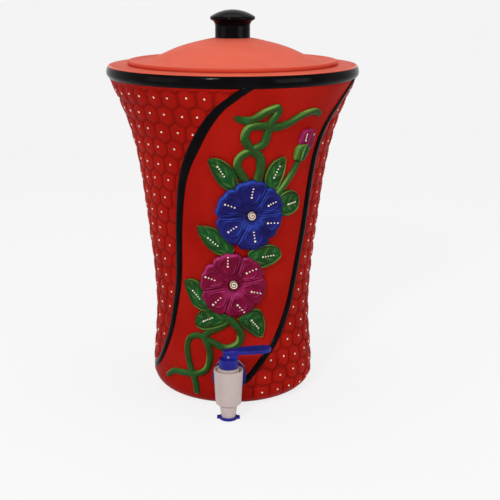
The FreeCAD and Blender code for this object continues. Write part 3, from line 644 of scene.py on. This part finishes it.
def enamel_paint(name, base, light, dark, high, painted_shade):
    """Enamel over broad patches, with strokes of painted highlight in the high colour where the shade layer is high
    and of painted shade in the last colour where the layer of painted shade is, both broken up by noise drawn out along
    the way layer."""
    material, tree, shader = new_material(name, 0.3, 0.05)
    paint = brushed(tree, base, light, dark, 70.0, 0.3)
    spot = add_node(tree, "ShaderNodeCombineXYZ")
    strokes = add_node(tree, "ShaderNodeTexNoise", Scale=1.0, Detail=3.0, Roughness=0.55)
    join(tree, (layer_value(tree, "way"), spot.inputs[0]), (layer_value(tree, "side"), spot.inputs[1]),
         (spot.outputs[0], strokes.inputs["Vector"]))
    broken = ranged(tree, strokes.outputs["Fac"], from_min=0.30, from_max=0.64, to_min=0.25, to_max=1.0)
    colour = paint.outputs["Colour"]
    for label, over in (("painted_shade", painted_shade), ("shade", high)):
        amount = add_node(tree, "ShaderNodeMath", operation="MULTIPLY")
        join(tree, (broken, amount.inputs[0]), (layer_value(tree, label), amount.inputs[1]))
        colour = mixed(tree, amount.outputs[0], colour, over)
    coat(tree, shader, paint, colour)
    return material


def brush_layers(shade, painted_shade, way, side):
    """The layers that enamel paint reads: how much painted highlight and painted shade, and the ways along and across
    its strokes.
    """
    return {"shade": np.clip(shade, 0.0, 1.0), "painted_shade": np.clip(painted_shade, 0.0, 0.9), "way": way, "side": side}


def beside(angle, share, across, up, stand):
    """Points on the wall at metres across and up from a place."""
    heights = share * wall_top + up
    return on_wall(angle + np.degrees(across / wall_radius(heights)), heights, stand)


# The last two colours of each enamel are its painted highlight and its painted shade.
blue_enamel = enamel_paint("blue_enamel", (0.0115, 0.011, 0.120), (0.016, 0.018, 0.165), (0.007, 0.0055, 0.070),
                           (0.034, 0.085, 0.50), (0.003, 0.002, 0.022))
pink_enamel = enamel_paint("magenta_enamel", (0.165, 0.0028, 0.028), (0.24, 0.006, 0.048), (0.10, 0.0018, 0.015),
                           (0.50, 0.045, 0.20), (0.042, 0.0007, 0.006))


def petal_line(turns, petals):
    """For each direction its phase, 0 in the middle of a petal and 1 or -1 in a notch, and the outline in metres.

    The outline runs smoothly from petal to petal and is drawn in at the notches.
    """
    marks = np.radians([bearing for bearing, reach in petals])
    marks[0] -= 2 * math.pi
    marks = np.concatenate([marks, marks + 2 * math.pi, [marks[0] + 4 * math.pi]])
    reaches = np.array([reach for bearing, reach in petals] * 2 + [petals[0][1]]) / 1000
    spot = np.interp(np.mod(turns, 2 * math.pi), marks, np.arange(len(marks)))
    index = np.minimum(spot.astype(int), len(marks) - 2)
    blend = ease(0.0, 1.0, spot - index)
    phase = 2 * (spot - np.round(spot))
    reach = reaches[index] * (1 - blend) + reaches[index + 1] * blend
    return phase, reach * (1 - 0.085 * np.abs(phase) ** 5 + 0.014 * np.cos(3 * math.pi * phase))


def petal_stand(across, up, petals):
    """How far a blossom stands off the wall at a place across and up from its eye, in metres.

    A throat rises to the petals. An oval fold in each petal, the rolled edge
    and the flutes beside each notch are added to it as ridges.
    """
    turns = np.arctan2(across, up)
    phase, outline = petal_line(turns, petals)
    part = np.clip(np.hypot(across, up) / outline, 0.0, 1.0)
    aside = part * np.sin(phase * petal_span)
    outward = part * np.cos(phase * petal_span)
    notch = part * np.sin((1 - np.abs(phase)) * petal_span)
    rise = 1.3 + 4.0 * ease(0.08, 0.56, part) + 0.5 * ease(0.6, 0.86, part) - 1.3 * ease(0.91, 1.0, part)
    dip = 0.04 * np.exp(-(aside / 0.055) ** 2)
    half_width = 0.225 * np.clip(0.50 + 0.78 * outward, 0.3, 1.2)
    fold = np.sqrt(((outward + dip - 0.615) / 0.255) ** 2 + (aside / half_width) ** 2)
    ridge = np.exp(-((fold - 1.0) / 0.12) ** 2) + 0.30 * np.exp(-((fold - 0.64) / 0.09) ** 2)
    dish = np.exp(-(fold / 0.72) ** 4)
    groove = np.exp(-(notch / 0.024) ** 2) * ease(0.20, 0.40, part)
    flutes = np.cos(2 * math.pi * (notch - 0.052) / 0.060) * np.exp(-((notch - 0.04) / 0.085) ** 2)
    flutes *= ease(0.2, 0.42, part) * (1 - ease(0.80, 0.97, part))
    edge = np.exp(-((part - 0.935) / 0.038) ** 2)
    creases = np.cos(18 * turns + 2.0 * np.sin(3 * turns)) * ease(0.10, 0.20, part) * (1 - ease(0.30, 0.46, part))
    creases *= np.clip(0.4 + np.cos(turns), 0.05, 1.0)
    ripple = np.sin(31 * turns + 9 * part) * ease(0.5, 0.7, part) * (1 - edge)
    stand = rise - 0.9 * groove + 0.70 * ridge - 0.8 * dish + 0.46 * flutes + 0.5 * edge + 0.22 * creases
    return (stand + 0.06 * ripple) / 1000


def make_flower(name, material):
    """Rings of a blossom from its throat out, over its rolled edge and back under, to a small ring inside.

    The painted highlight lies where the stand falls away up and to the left, on
    the upper-left rims and on the lower throat; the painted shade where it falls
    the other way, in the notches and round the heart.
    """
    (angle, share), petals, lines = flower_places[name]
    turns = circle(300)
    phase, outline = petal_line(turns, petals)
    top = np.linspace(0.012, 1.0, 70)
    part = np.concatenate([top, [1.012, 1.014, 1.004, 0.5, 0.02]])[:, None]
    across = part * outline * np.sin(turns)
    up = part * outline * np.cos(turns)
    stand = petal_stand(across, up, petals)
    aside, above = (slope_step * way for way in light_from)
    fall = petal_stand(across - aside, up - above, petals) - petal_stand(across + aside, up + above, petals)
    slope = fall / (2 * slope_step)
    rows = len(top)
    stand[rows] = stand[rows - 1] * 0.80
    stand[rows + 1] = stand[rows - 1] * 0.40
    stand[rows + 2:] = -sunk
    rim = np.exp(-((part - 0.95) / 0.05) ** 2)
    leans = 0.5 + 0.5 * np.cos(turns + math.radians(38))
    throat = np.exp(-((part - 0.33) / 0.11) ** 4) * ease(0.15, 0.75, -np.cos(turns))
    notch = np.exp(-((1 - np.abs(phase)) / 0.10) ** 2) * ease(0.3, 0.5, part)
    # Painted highlight on slopes facing up and to the left, the upper-left rims and the lower throat; painted shade on
    # slopes facing away, in the notches and round the heart.
    shade = np.clip(1.35 * slope - 0.36, 0.0, 1.0) + rim * (0.03 + 0.55 * leans ** 5) + 0.42 * throat
    painted_shade = np.clip(-1.2 * slope - 0.05, 0.0, 0.9) + 0.25 * notch + 0.9 * (1 - ease(0.14, 0.22, part))
    layers = brush_layers(shade, painted_shade, part * outline * 90, np.sin(turns) * 14 + 0.0 * part)
    points = beside(angle, share, across, up, stand)

    def stand_at(drop_angle, height):
        aside = math.radians(drop_angle - angle) * float(wall_radius(height))
        return float(petal_stand(np.array([aside]), np.array([height - share * wall_top]), petals)[0])

    for start, end in lines:
        drop_line(start, end, 4, (1.05, 0.80), stand_at)
    piece = make_piece(name + "_petals", points, tube_faces(*points.shape[:2]), material, "pot", layers)
    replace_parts(piece, name)


make_flower("flower_upper", blue_enamel)
make_flower("flower_lower", pink_enamel)


# Hearts: a coil of cream slip piped in a spiral into each throat, with painted
# shade between the turns of the spiral. Its height follows the distance from
# the spiral's line.
heart_radius = 0.0039


def heart_material():
    material, tree, shader = new_material("cream_coil", 0.35, 0.4)
    cream = brushed(tree, (0.80, 0.66, 0.52), (0.88, 0.78, 0.66), (0.66, 0.50, 0.38), 300.0, 0.35)
    # Painted shade: the shade layer darkens the gaps between the spiral's turns.
    shaded = mixed(tree, layer_value(tree, "shade"), cream.outputs["Colour"], (0.09, 0.035, 0.03))
    coat(tree, shader, cream, shaded, grain=False)
    return material


cream_coil = heart_material()


def make_heart(name):
    """A dome whose top carries a spiral ridge: the cosine of the radius in coil widths less the turn."""
    angle, share = flower_places[name][0]
    turns = circle(72)
    part = np.concatenate([np.linspace(0.02, 1.0, 30), [1.03, 1.0, 0.05]])[:, None]
    spiral = np.cos(2 * math.pi * (np.minimum(part, 1.0) * 1.75) - turns)
    stand = 0.0026 + 0.0014 * np.sqrt(np.clip(1 - np.minimum(part, 1.0) ** 2, 0, 1)) + 0.00045 * spiral
    stand = stand + 0.0 * turns
    stand[-3] = 0.0019
    stand[-2:] = 0.0004
    # Painted shade between the ridges of the spiral.
    shade = np.clip(0.10 - 1.0 * spiral, 0.0, 1.0) + 0.0 * turns
    outline = heart_radius * (1 + 0.06 * np.cos(2 * turns + 0.7))
    points = beside(angle, share, part * outline * np.sin(turns), part * outline * np.cos(turns), stand)
    piece = make_piece(name + "_coil", points, tube_faces(*points.shape[:2]), cream_coil, "pot",
                       {"shade": shade})
    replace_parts(piece, name + "_heart")


make_heart("flower_upper")
make_heart("flower_lower")


# Leaves: full leaves of pressed clay round the flowers, each with a rolled
# edge, a groove inside it and a low midrib, in green enamel with lighter vein
# strokes, painted highlight on the rolls and slopes that look up and to the
# left, and painted shade in the groove and on the sides that look away. Each is
# given as its base and tip, the two edges between them from the base on, and
# the drops along its middle.
leaf_places = {
    "leaf_top_left": (
        ((4.2, 0.7014), (-10.9, 0.7934)), ((-0.6, 0.697), (-6.1, 0.718), (-9.4, 0.7515), (-10.9, 0.777)),
        ((5.7, 0.7184), (3.7, 0.7527), (-1.2, 0.7824), (-6.4, 0.7951)), ((-5.9, 0.7703), (-2.4, 0.7414)),
    ),
    "leaf_top_right": (
        ((24.0, 0.697), (31.5, 0.7935)), ((20.6, 0.7198), (20.9, 0.7475), (23.8, 0.7765), (27.8, 0.7903)),
        ((28.4, 0.6983), (30.8, 0.7199), (32.0, 0.7429), (32.1, 0.7708)), ((25.5, 0.733), (28.3, 0.7661)),
    ),
    "leaf_side_right": (
        ((28.4, 0.649), (45.6, 0.646)), ((31.2, 0.6764), (35.3, 0.6871), (39.7, 0.6863), (43.6, 0.671)),
        ((32.3, 0.6189), (35.7, 0.6075), (40.5, 0.6103), (44.3, 0.6239)), ((36.5, 0.6449), (41.7, 0.6492)),
    ),
    "leaf_middle_left": (
        ((1.8, 0.4995), (-20.0, 0.5835)), ((-5.0, 0.4945), (-10.8, 0.5055), (-15.8, 0.5284), (-19.0, 0.5572)),
        ((3.1, 0.5196), (-1.7, 0.5473), (-7.7, 0.5763), (-13.8, 0.5846)), ((-13.0, 0.549), (-7.0, 0.5254)),
    ),
    "leaf_middle_right": (
        ((13.7, 0.4682), (35.0, 0.49)), ((12.1, 0.5022), (18.0, 0.5184), (25.0, 0.524), (31.6, 0.5135)),
        ((20.0, 0.4499), (25.4, 0.4528), (30.6, 0.4619), (34.1, 0.476)), ((21.6, 0.4864), (28.8, 0.4888)),
    ),
    "leaf_low_left": (
        ((-14.0, 0.312), (-31.9, 0.4045)), ((-19.7, 0.3134), (-25.9, 0.3247), (-29.3, 0.3536), (-31.3, 0.3808)),
        ((-13.6, 0.3309), (-16.9, 0.3732), (-21.6, 0.403), (-26.7, 0.41)), ((-25.4, 0.3738), (-20.5, 0.3505)),
    ),
    "leaf_foot_left": (
        ((0.8, 0.2884), (-24.7, 0.274)), ((-4.1, 0.2697), (-11.6, 0.2541), (-18.3, 0.2477), (-23.2, 0.257)),
        ((-3.1, 0.3041), (-10.9, 0.318), (-17.2, 0.3204), (-22.6, 0.301)), ((-18.0, 0.2787), (-11.9, 0.2923)),
    ),
    "leaf_foot_right": (
        ((5.6, 0.29), (22.9, 0.2258)), ((12.4, 0.311), (18.4, 0.3205), (23.4, 0.3021), (25.0, 0.2613)),
        ((8.0, 0.2696), (11.6, 0.252), (15.6, 0.2378), (19.7, 0.228)), ((15.1, 0.2844), (19.9, 0.2581)),
    ),
}

# The last two colours are the painted highlight and the painted shade.
green_enamel = enamel_paint("green_enamel", (0.0075, 0.064, 0.0135), (0.012, 0.105, 0.024), (0.013, 0.030, 0.006),
                            (0.27, 0.47, 0.080), (0.020, 0.020, 0.003))


def slab(name, angles, heights, stand, layers, material):
    """A sheet on the wall over a grid, closed by a copy sunk into the clay and by its four edges."""
    rows, columns = stand.shape
    top = on_wall(angles, heights, stand)
    under = on_wall(angles, heights, np.full(stand.shape, -sunk))
    count = rows * columns
    one = grid_faces(rows, columns, closed_round=False)
    index = np.arange(count).reshape(rows, columns)
    edge = np.concatenate([index[0, :-1], index[:-1, -1], index[-1, :0:-1], index[:0:-1, 0]])
    after = np.roll(edge, -1)
    sides = np.stack([edge, after, after + count, edge + count], axis=-1)
    faces = np.concatenate([one, one[:, ::-1] + count, sides]).tolist()
    doubled = {label: np.tile((values + 0.0 * stand).ravel(), 2) for label, values in layers.items()}
    return make_piece(name, np.concatenate([top.reshape(-1, 3), under.reshape(-1, 3)]), faces, material, "pot",
                      doubled)


def uphill(angles, heights, stand):
    """The slope of a sheet's stand, positive where it falls away up and to the left."""
    across = np.radians(angles) * wall_radius(heights)
    (across_down, across_on), (up_down, up_on), (out_down, out_on) = map(np.gradient, (across, heights, stand))
    area = across_down * up_on - up_down * across_on
    area = np.where(np.abs(area) < 1e-12, 1e-12, area)
    by_across = (out_down * up_on - out_on * up_down) / area
    by_up = (out_on * across_down - out_down * across_on) / area
    return np.clip(-light_from[0] * by_across - light_from[1] * by_up, -1.5, 1.5)


def between(edges, rows, columns, blunt):
    """A grid between two smooth edges, and how far each point lies inside: 0 on the edges, 1 along the middle.

    The edges are given as (base, tip) and the places between them on either
    side, blunt as the share of the length that the base and the tip take.
    """
    (base, tip), *sides = edges
    left, right = (along([base, *side, tip], rows) for side in sides)
    way = np.linspace(0.0, 1.0, rows)[:, None]
    side = np.sin(np.linspace(-math.pi / 2, math.pi / 2, columns))[None, :]
    angles = left[:, 0, None] * (1 - side) / 2 + right[:, 0, None] * (1 + side) / 2
    heights = (left[:, 1, None] * (1 - side) / 2 + right[:, 1, None] * (1 + side) / 2) * wall_top
    ends = np.clip(np.minimum(way / blunt[0], (1 - way) / blunt[1]), 0.0, 1.0)
    return way, side, angles, heights, np.sqrt(np.clip(1 - side ** 2, 0.0, 1.0)) * ends ** 0.5


def make_leaf(name):
    """A blade between two smooth edges: a roll near each edge, a groove inside it and a low crown between."""
    *edges, (start, end) = leaf_places[name]
    way, side, angles, heights, inside = between(edges, 73, 45, (0.10, 0.13))
    rolled = np.exp(-((inside - 0.38) / 0.17) ** 2)
    groove = np.exp(-((inside - 0.66) / 0.10) ** 2)
    crown = ease(0.62, 1.0, inside)
    midrib = np.exp(-(side / 0.07) ** 2) * ease(0.7, 0.9, inside)
    veins = np.cos(2 * math.pi * (5.0 * way - 1.3 * np.abs(side))) * ease(0.10, 0.25, np.abs(side)) * crown
    stand = (1.4 + 1.9 * ease(0.0, 0.34, inside) + 0.65 * rolled - 0.35 * groove + 0.55 * crown + 0.22 * midrib
             + 0.10 * veins) / 1000
    slope = uphill(angles, heights, stand)
    # Painted highlight on slopes facing up and to the left, with lighter vein strokes; painted shade on slopes facing
    # away, in the groove and on the lower rolled edge.
    shade = np.clip(1.3 * slope - 0.12, 0.0, 1.0) * (0.15 + 0.85 * rolled) + 0.24 * veins * crown
    painted_shade = np.clip(-1.1 * slope, 0.0, 0.8) + 0.75 * groove + 0.45 * rolled * ease(-0.4, 0.3, -slope)
    layers = brush_layers(shade, painted_shade, way * 3.2 + edges[0][1][0], side * 6.5)
    drop_line(start, end, 5, (0.989, 0.7912), lambda angle, height: 0.0040)
    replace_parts(slab(name + "_blade", angles, heights, stand, layers, green_enamel), name)


for name in leaf_places:
    make_leaf(name)


# Vines and stalk: rolled coils of clay, thick at the flower and drawn out to a
# blunt point, that pass over and under each other. Green enamel with long
# strokes of painted highlight on the side that looks up, painted shade on the
# other and painted shade down the middle.
vine_places = {
    "vine_top": [
        ([(11.6, 0.705), (9.3, 0.7288), (6.2, 0.7504), (4.7, 0.7730), (6.5, 0.7998), (12.0, 0.8170), (18.6, 0.8374),
          (19.9, 0.8700), (21.2, 0.9011), (23.6, 0.9290), (22.3, 0.9415), (17.6, 0.9310), (11.8, 0.9100), (6.6, 0.9090),
          (2.6, 0.9180)],
         ((0.0, 0.30, 0.62, 0.80, 0.92, 1.0), (0.0080, 0.0080, 0.0086, 0.0086, 0.0080, 0.0050)), 0.0043),
        ([(16.0, 0.700), (16.7, 0.7273), (17.9, 0.7655), (16.5, 0.7983), (10.7, 0.8284), (8.3, 0.8560), (10.4, 0.8860),
          (17.6, 0.8900), (23.6, 0.8841), (30.2, 0.8931), (36.7, 0.9137), (43.7, 0.9240), (48.2, 0.9170),
          (49.9, 0.9060)],
         ((0.0, 0.30, 0.62, 0.86, 1.0), (0.0094, 0.0084, 0.0080, 0.0076, 0.0064)), 0.0048),
    ],
    "vine_foot": [
        ([(-2.5, 0.296), (4.7, 0.2664), (8.0, 0.2380), (5.8, 0.2080), (-3.0, 0.1940), (-12.0, 0.2100), (-21.5, 0.2270),
          (-29.4, 0.2170), (-31.9, 0.1870), (-30.6, 0.1500), (-27.5, 0.1108), (-24.4, 0.0760), (-23.3, 0.0340)],
         ((0.0, 0.14, 0.45, 0.8, 1.0), (0.0084, 0.0080, 0.0062, 0.0064, 0.0066)), 0.0046),
        ([(1.5, 0.2850), (-6.5, 0.2610), (-15.0, 0.2420), (-17.6, 0.2230), (-14.6, 0.1900), (-14.0, 0.1560),
          (-16.5, 0.1220), (-24.3, 0.1030), (-35.0, 0.0985), (-43.5, 0.0935), (-51.6, 0.0680)],
         ((0.0, 0.3, 0.6, 0.9, 1.0), (0.0070, 0.0074, 0.0068, 0.0064, 0.0052)), 0.0041),
    ],
    "bud_stem": [
        ([(42.0, 0.785), (41.2, 0.7660), (38.6, 0.7400), (35.0, 0.7150), (30.6, 0.6880), (27.6, 0.6680)],
         ((0.0, 0.3, 0.8, 1.0), (0.0062, 0.0068, 0.0088, 0.0088)), 0.0042),
    ],
}


def make_vine(name):
    """The coils of a vine in one piece, with painted highlight and painted shade at each point from how far it looks up
    and to the left, and painted shade down the middle where the coils have a groove.
    """
    points, faces, layers, count = [], [], [], 0
    for number, (places, widths, crest) in enumerate(vine_places[name]):
        mesh, way, aside, lit = coil(places, widths, crest)
        faces += tube_faces(*mesh.shape[:2], first=count)
        points.append(mesh.reshape(-1, 3))
        count += len(points[-1])
        edge = np.exp(-((np.abs(lit) - 0.72) / 0.16) ** 2)
        stretch = 0.10 + 0.90 * np.sin(way * 46 + 2 * number) ** 4
        middle = np.exp(-(aside / (0.30 * np.abs(aside).max(axis=1, keepdims=True))) ** 2)
        # Painted highlight in stretches on the side facing up and to the left; painted shade on the side facing away
        # and down the middle.
        shade = ease(0.30, 0.65, lit) * (1 - 0.6 * ease(0.7, 0.95, lit)) * stretch + 0.05
        painted_shade = 0.95 * ease(0.1, 0.7, -lit) * (1 - 0.6 * edge) + 0.65 * middle
        layers.append(brush_layers(shade, painted_shade, way * 55 + 9 * number, aside * 750))
    layers = {label: np.concatenate([layer[label].ravel() for layer in layers]) for label in layers[0]}
    piece = make_piece(name + "_coils", np.concatenate(points), faces, green_enamel, "pot", layers)
    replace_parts(piece, name)


for name in vine_places:
    make_vine(name)


# Bud: three magenta petals folded over each other in a green cup, pressed
# from one lump, with painted highlight on the slopes that look up and to the
# left and painted shade on the others and in the creases. Drops run up the
# petals.
bud_lines = (((42.0, 0.8381), (42.0, 0.8573)), ((45.4, 0.8415), (47.0, 0.8550)))
bud_edges = (
    ((44.0, 0.8060), (45.2, 0.8720)),
    ((39.9, 0.8290), (39.6, 0.8470), (40.2, 0.8620), (42.2, 0.8700)),
    ((48.6, 0.8070), (50.0, 0.8260), (49.9, 0.8480), (48.2, 0.8650)),
)
cup_edges = (
    ((41.2, 0.7710), (42.8, 0.8290)),
    ((38.6, 0.7810), (37.7, 0.7990), (38.2, 0.8160), (39.9, 0.8255)),
    ((44.4, 0.7780), (46.8, 0.7940), (47.4, 0.8110), (45.8, 0.8240)),
)


def lump(name, edges, high, lobes, paint, width):
    """A swelling sheet between two smooth edges, with creases at the lobe lines given as shares across it."""
    way, side, angles, heights, inside = between(edges, 57, 61, (0.22, 0.22))
    crease = sum(np.exp(-((side - at - 0.12 * (way - 0.5)) / width) ** 2) for at in lobes)
    stand = 0.0012 + high * inside ** 0.8 - 0.0018 * crease * inside
    slope = uphill(angles, heights, stand)
    # Painted highlight on slopes facing up and to the left; painted shade on slopes facing away and in the creases.
    layers = brush_layers(0.6 * slope - 0.10, -0.7 * slope + 0.75 * crease, way * 3.0, side * 6.0)
    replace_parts(slab(name + "_sheath", angles, heights, stand, layers, paint), name)


lump("rosebud", bud_edges, 0.0048, (-0.20, 0.42), pink_enamel, 0.085)
lump("rosebud_cup", cup_edges, 0.0056, (-0.28,), green_enamel, 0.07)
for start, end in bud_lines:
    drop_line(start, end, 5, (0.828, 0.6624), lambda angle, height: 0.0053)
make_pearls()


# Tap: moulded plastic and rubber, clamped through the wall by a nut. The body
# and bonnet are white, the lever, cap and nozzle ring blue, the washers rubber
# or silicone, and the stem and spring steel.
def moulded(name, base, light, dark, roughness, specular=0.5, metallic=0.0):
    """A moulded or drawn part: faint flow patches in a near colour and a fine skin in the gloss."""
    material, tree, shader = new_material(name, roughness, specular)
    shader.inputs["Metallic"].default_value = metallic
    coat(tree, shader, brushed(tree, base, light, dark, 45.0, roughness))
    return material


finishes = {
    "tap_white": moulded("white_plastic", (0.545, 0.445, 0.42), (0.575, 0.475, 0.45), (0.515, 0.415, 0.39), 0.32, 0.3),
    "tap_blue": moulded("blue_plastic", (0.013, 0.014, 0.225), (0.018, 0.020, 0.27), (0.009, 0.0095, 0.16), 0.3, 0.16),
    "silicone": moulded("silicone", (0.62, 0.60, 0.57), (0.68, 0.66, 0.63), (0.54, 0.52, 0.49), 0.5),
    "blue_rubber": moulded("blue_rubber", (0.014, 0.016, 0.18), (0.02, 0.023, 0.22), (0.01, 0.011, 0.13), 0.6, 0.25),
    "black_rubber": moulded("black_rubber", (0.012, 0.012, 0.013), (0.018, 0.018, 0.019), (0.008, 0.008, 0.009),
                            0.65, 0.3),
    "spring_steel": moulded("spring_steel", (0.34, 0.34, 0.37), (0.40, 0.40, 0.43), (0.27, 0.27, 0.30), 0.34,
                            metallic=1.0),
}
for part in frame["record"]["subparts"]:
    if part["material_slot"] in finishes:
        dress(part["node"], finishes[part["material_slot"]])


# Return spring: steel wire in four turns round the stem, from its shoulder to
# the bonnet. On the tap it is pressed together against the bonnet as the stem
# lifts; this coil keeps its length and rides on the stem.
spring_wire = 0.00045
spring_turns = 4


def make_spring():
    """A round wire carried along a helix: its radius round the stem, its height in proportion to the turn."""
    low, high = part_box("return_spring")
    middle = [(low[axis] + high[axis]) / 2 for axis in range(2)]
    turn = np.linspace(0, 2 * math.pi * spring_turns, 28 * spring_turns)[:, None]
    section = circle(10)
    out = (high[0] - low[0]) / 2 - spring_wire + spring_wire * np.cos(section)
    level = low[2] + spring_wire + (high[2] - low[2] - 2 * spring_wire) * turn / turn[-1]
    points = np.stack([middle[0] + out * np.cos(turn), middle[1] + out * np.sin(turn),
                       level + spring_wire * np.sin(section)], axis=-1)
    piece = make_piece("return_coil", points, tube_faces(*points.shape[:2]), finishes["spring_steel"], "stem")
    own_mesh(piece)
    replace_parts(piece, "return_spring")


make_spring()


# Studio: a pale paper sweep that isn't part of the object, four soft lamps
# and the camera, a little above the lid.
def seen_share(tree, unseen, seen):
    """A value that is seen for rays from the camera, from a gloss and through glass, and unseen for all others."""
    rays = add_node(tree, "ShaderNodeLightPath")
    direct = add_node(tree, "ShaderNodeMath", operation="MAXIMUM")
    mirrored = add_node(tree, "ShaderNodeMath", operation="MAXIMUM")
    join(tree, (rays.outputs["Is Camera Ray"], direct.inputs[0]), (rays.outputs["Is Glossy Ray"], mirrored.inputs[0]),
         (rays.outputs["Is Transmission Ray"], mirrored.inputs[1]), (mirrored.outputs[0], direct.inputs[1]))
    return ranged(tree, direct.outputs[0], to_min=unseen, to_max=seen)


def make_sweep():
    """A floor that curves up into a backdrop behind the pot."""
    bend = np.radians(np.linspace(0, 90, 13))
    profile = np.concatenate([[(-3.0, 0.0)], np.stack([1.2 + 1.2 * np.sin(bend), 1.2 - 1.2 * np.cos(bend)], axis=-1),
                              [(2.4, 4.5)]])
    points = np.stack([np.insert(profile, 0, side, axis=1) for side in (-3.0, 3.0)])
    mesh = bpy.data.meshes.new("sweep")
    mesh.from_pydata(points.reshape(-1, 3), [], grid_faces(2, len(profile), closed_round=False).tolist())
    mesh.polygons.foreach_set("use_smooth", np.ones(len(mesh.polygons), dtype=bool))
    material, tree, shader = new_material("pale_paper", 0.9, 0.2)
    paper = brushed(tree, (0.82, 0.82, 0.82), (0.84, 0.84, 0.84), (0.80, 0.80, 0.80), 4.0, 0.9)
    glow = add_node(tree, "ShaderNodeEmission", Color=(1.0, 1.0, 1.0, 1.0), Strength=1.0)
    blend = add_node(tree, "ShaderNodeMixShader")
    join(tree, (paper.outputs["Colour"], shader.inputs["Base Color"]), (seen_share(tree, 0.0, 0.80), blend.inputs[0]),
         (shader.outputs[0], blend.inputs[1]), (glow.outputs[0], blend.inputs[2]),
         (blend.outputs[0], tree.nodes["Material Output"].inputs["Surface"]))
    mesh.materials.append(material)
    sweep = bpy.data.objects.new("sweep", mesh)
    bpy.context.scene.collection.objects.link(sweep)


lamp_aim = Vector((0.0, 0.0, 0.18))


def soft_lamp(name, place, size, power):
    lamp = bpy.data.lights.new(name, "AREA")
    lamp.size = size
    lamp.energy = power
    holder = bpy.data.objects.new(name, lamp)
    holder.location = place
    holder.rotation_euler = (lamp_aim - Vector(place)).to_track_quat("-Z", "Y").to_euler()
    bpy.context.scene.collection.objects.link(holder)


make_sweep()
soft_lamp("key", (-0.52, -1.70, 1.30), 0.24, 17.0)
soft_lamp("fill", (1.6, -1.1, 0.35), 1.1, 13.0)
soft_lamp("side", (-1.7, -0.9, 0.45), 1.0, 5.0)
soft_lamp("top", (0.0, 0.2, 1.9), 1.4, 9.0)
world = bpy.data.worlds.new("studio")
world.use_nodes = True
sky = world.node_tree.nodes["Background"].inputs
sky["Color"].default_value = (1.0, 1.0, 1.0, 1.0)
join(world.node_tree, (seen_share(world.node_tree, 0.35, 0.90), sky["Strength"]))
bpy.context.scene.world = world
bpy.context.scene.view_settings.view_transform = "Standard"

camera_reach = 1.067
camera_height = 0.420
camera_turn = math.radians(2.1)
camera_dip = math.radians(14.66)
focal_pixels = 1063.0
frame_pixels = 500.0
axis_pixel = 232.6
lens = bpy.data.cameras.new("camera")
lens.sensor_width = 36.0
lens.lens = focal_pixels * lens.sensor_width / frame_pixels
lens.shift_x = (frame_pixels / 2 - axis_pixel) / frame_pixels
camera = bpy.data.objects.new("camera", lens)
camera.location = (camera_reach * math.sin(camera_turn), -camera_reach * math.cos(camera_turn), camera_height)
camera.rotation_euler = (math.pi / 2 - camera_dip, 0.0, camera_turn)
bpy.context.scene.collection.objects.link(camera)
bpy.context.scene.camera = camera
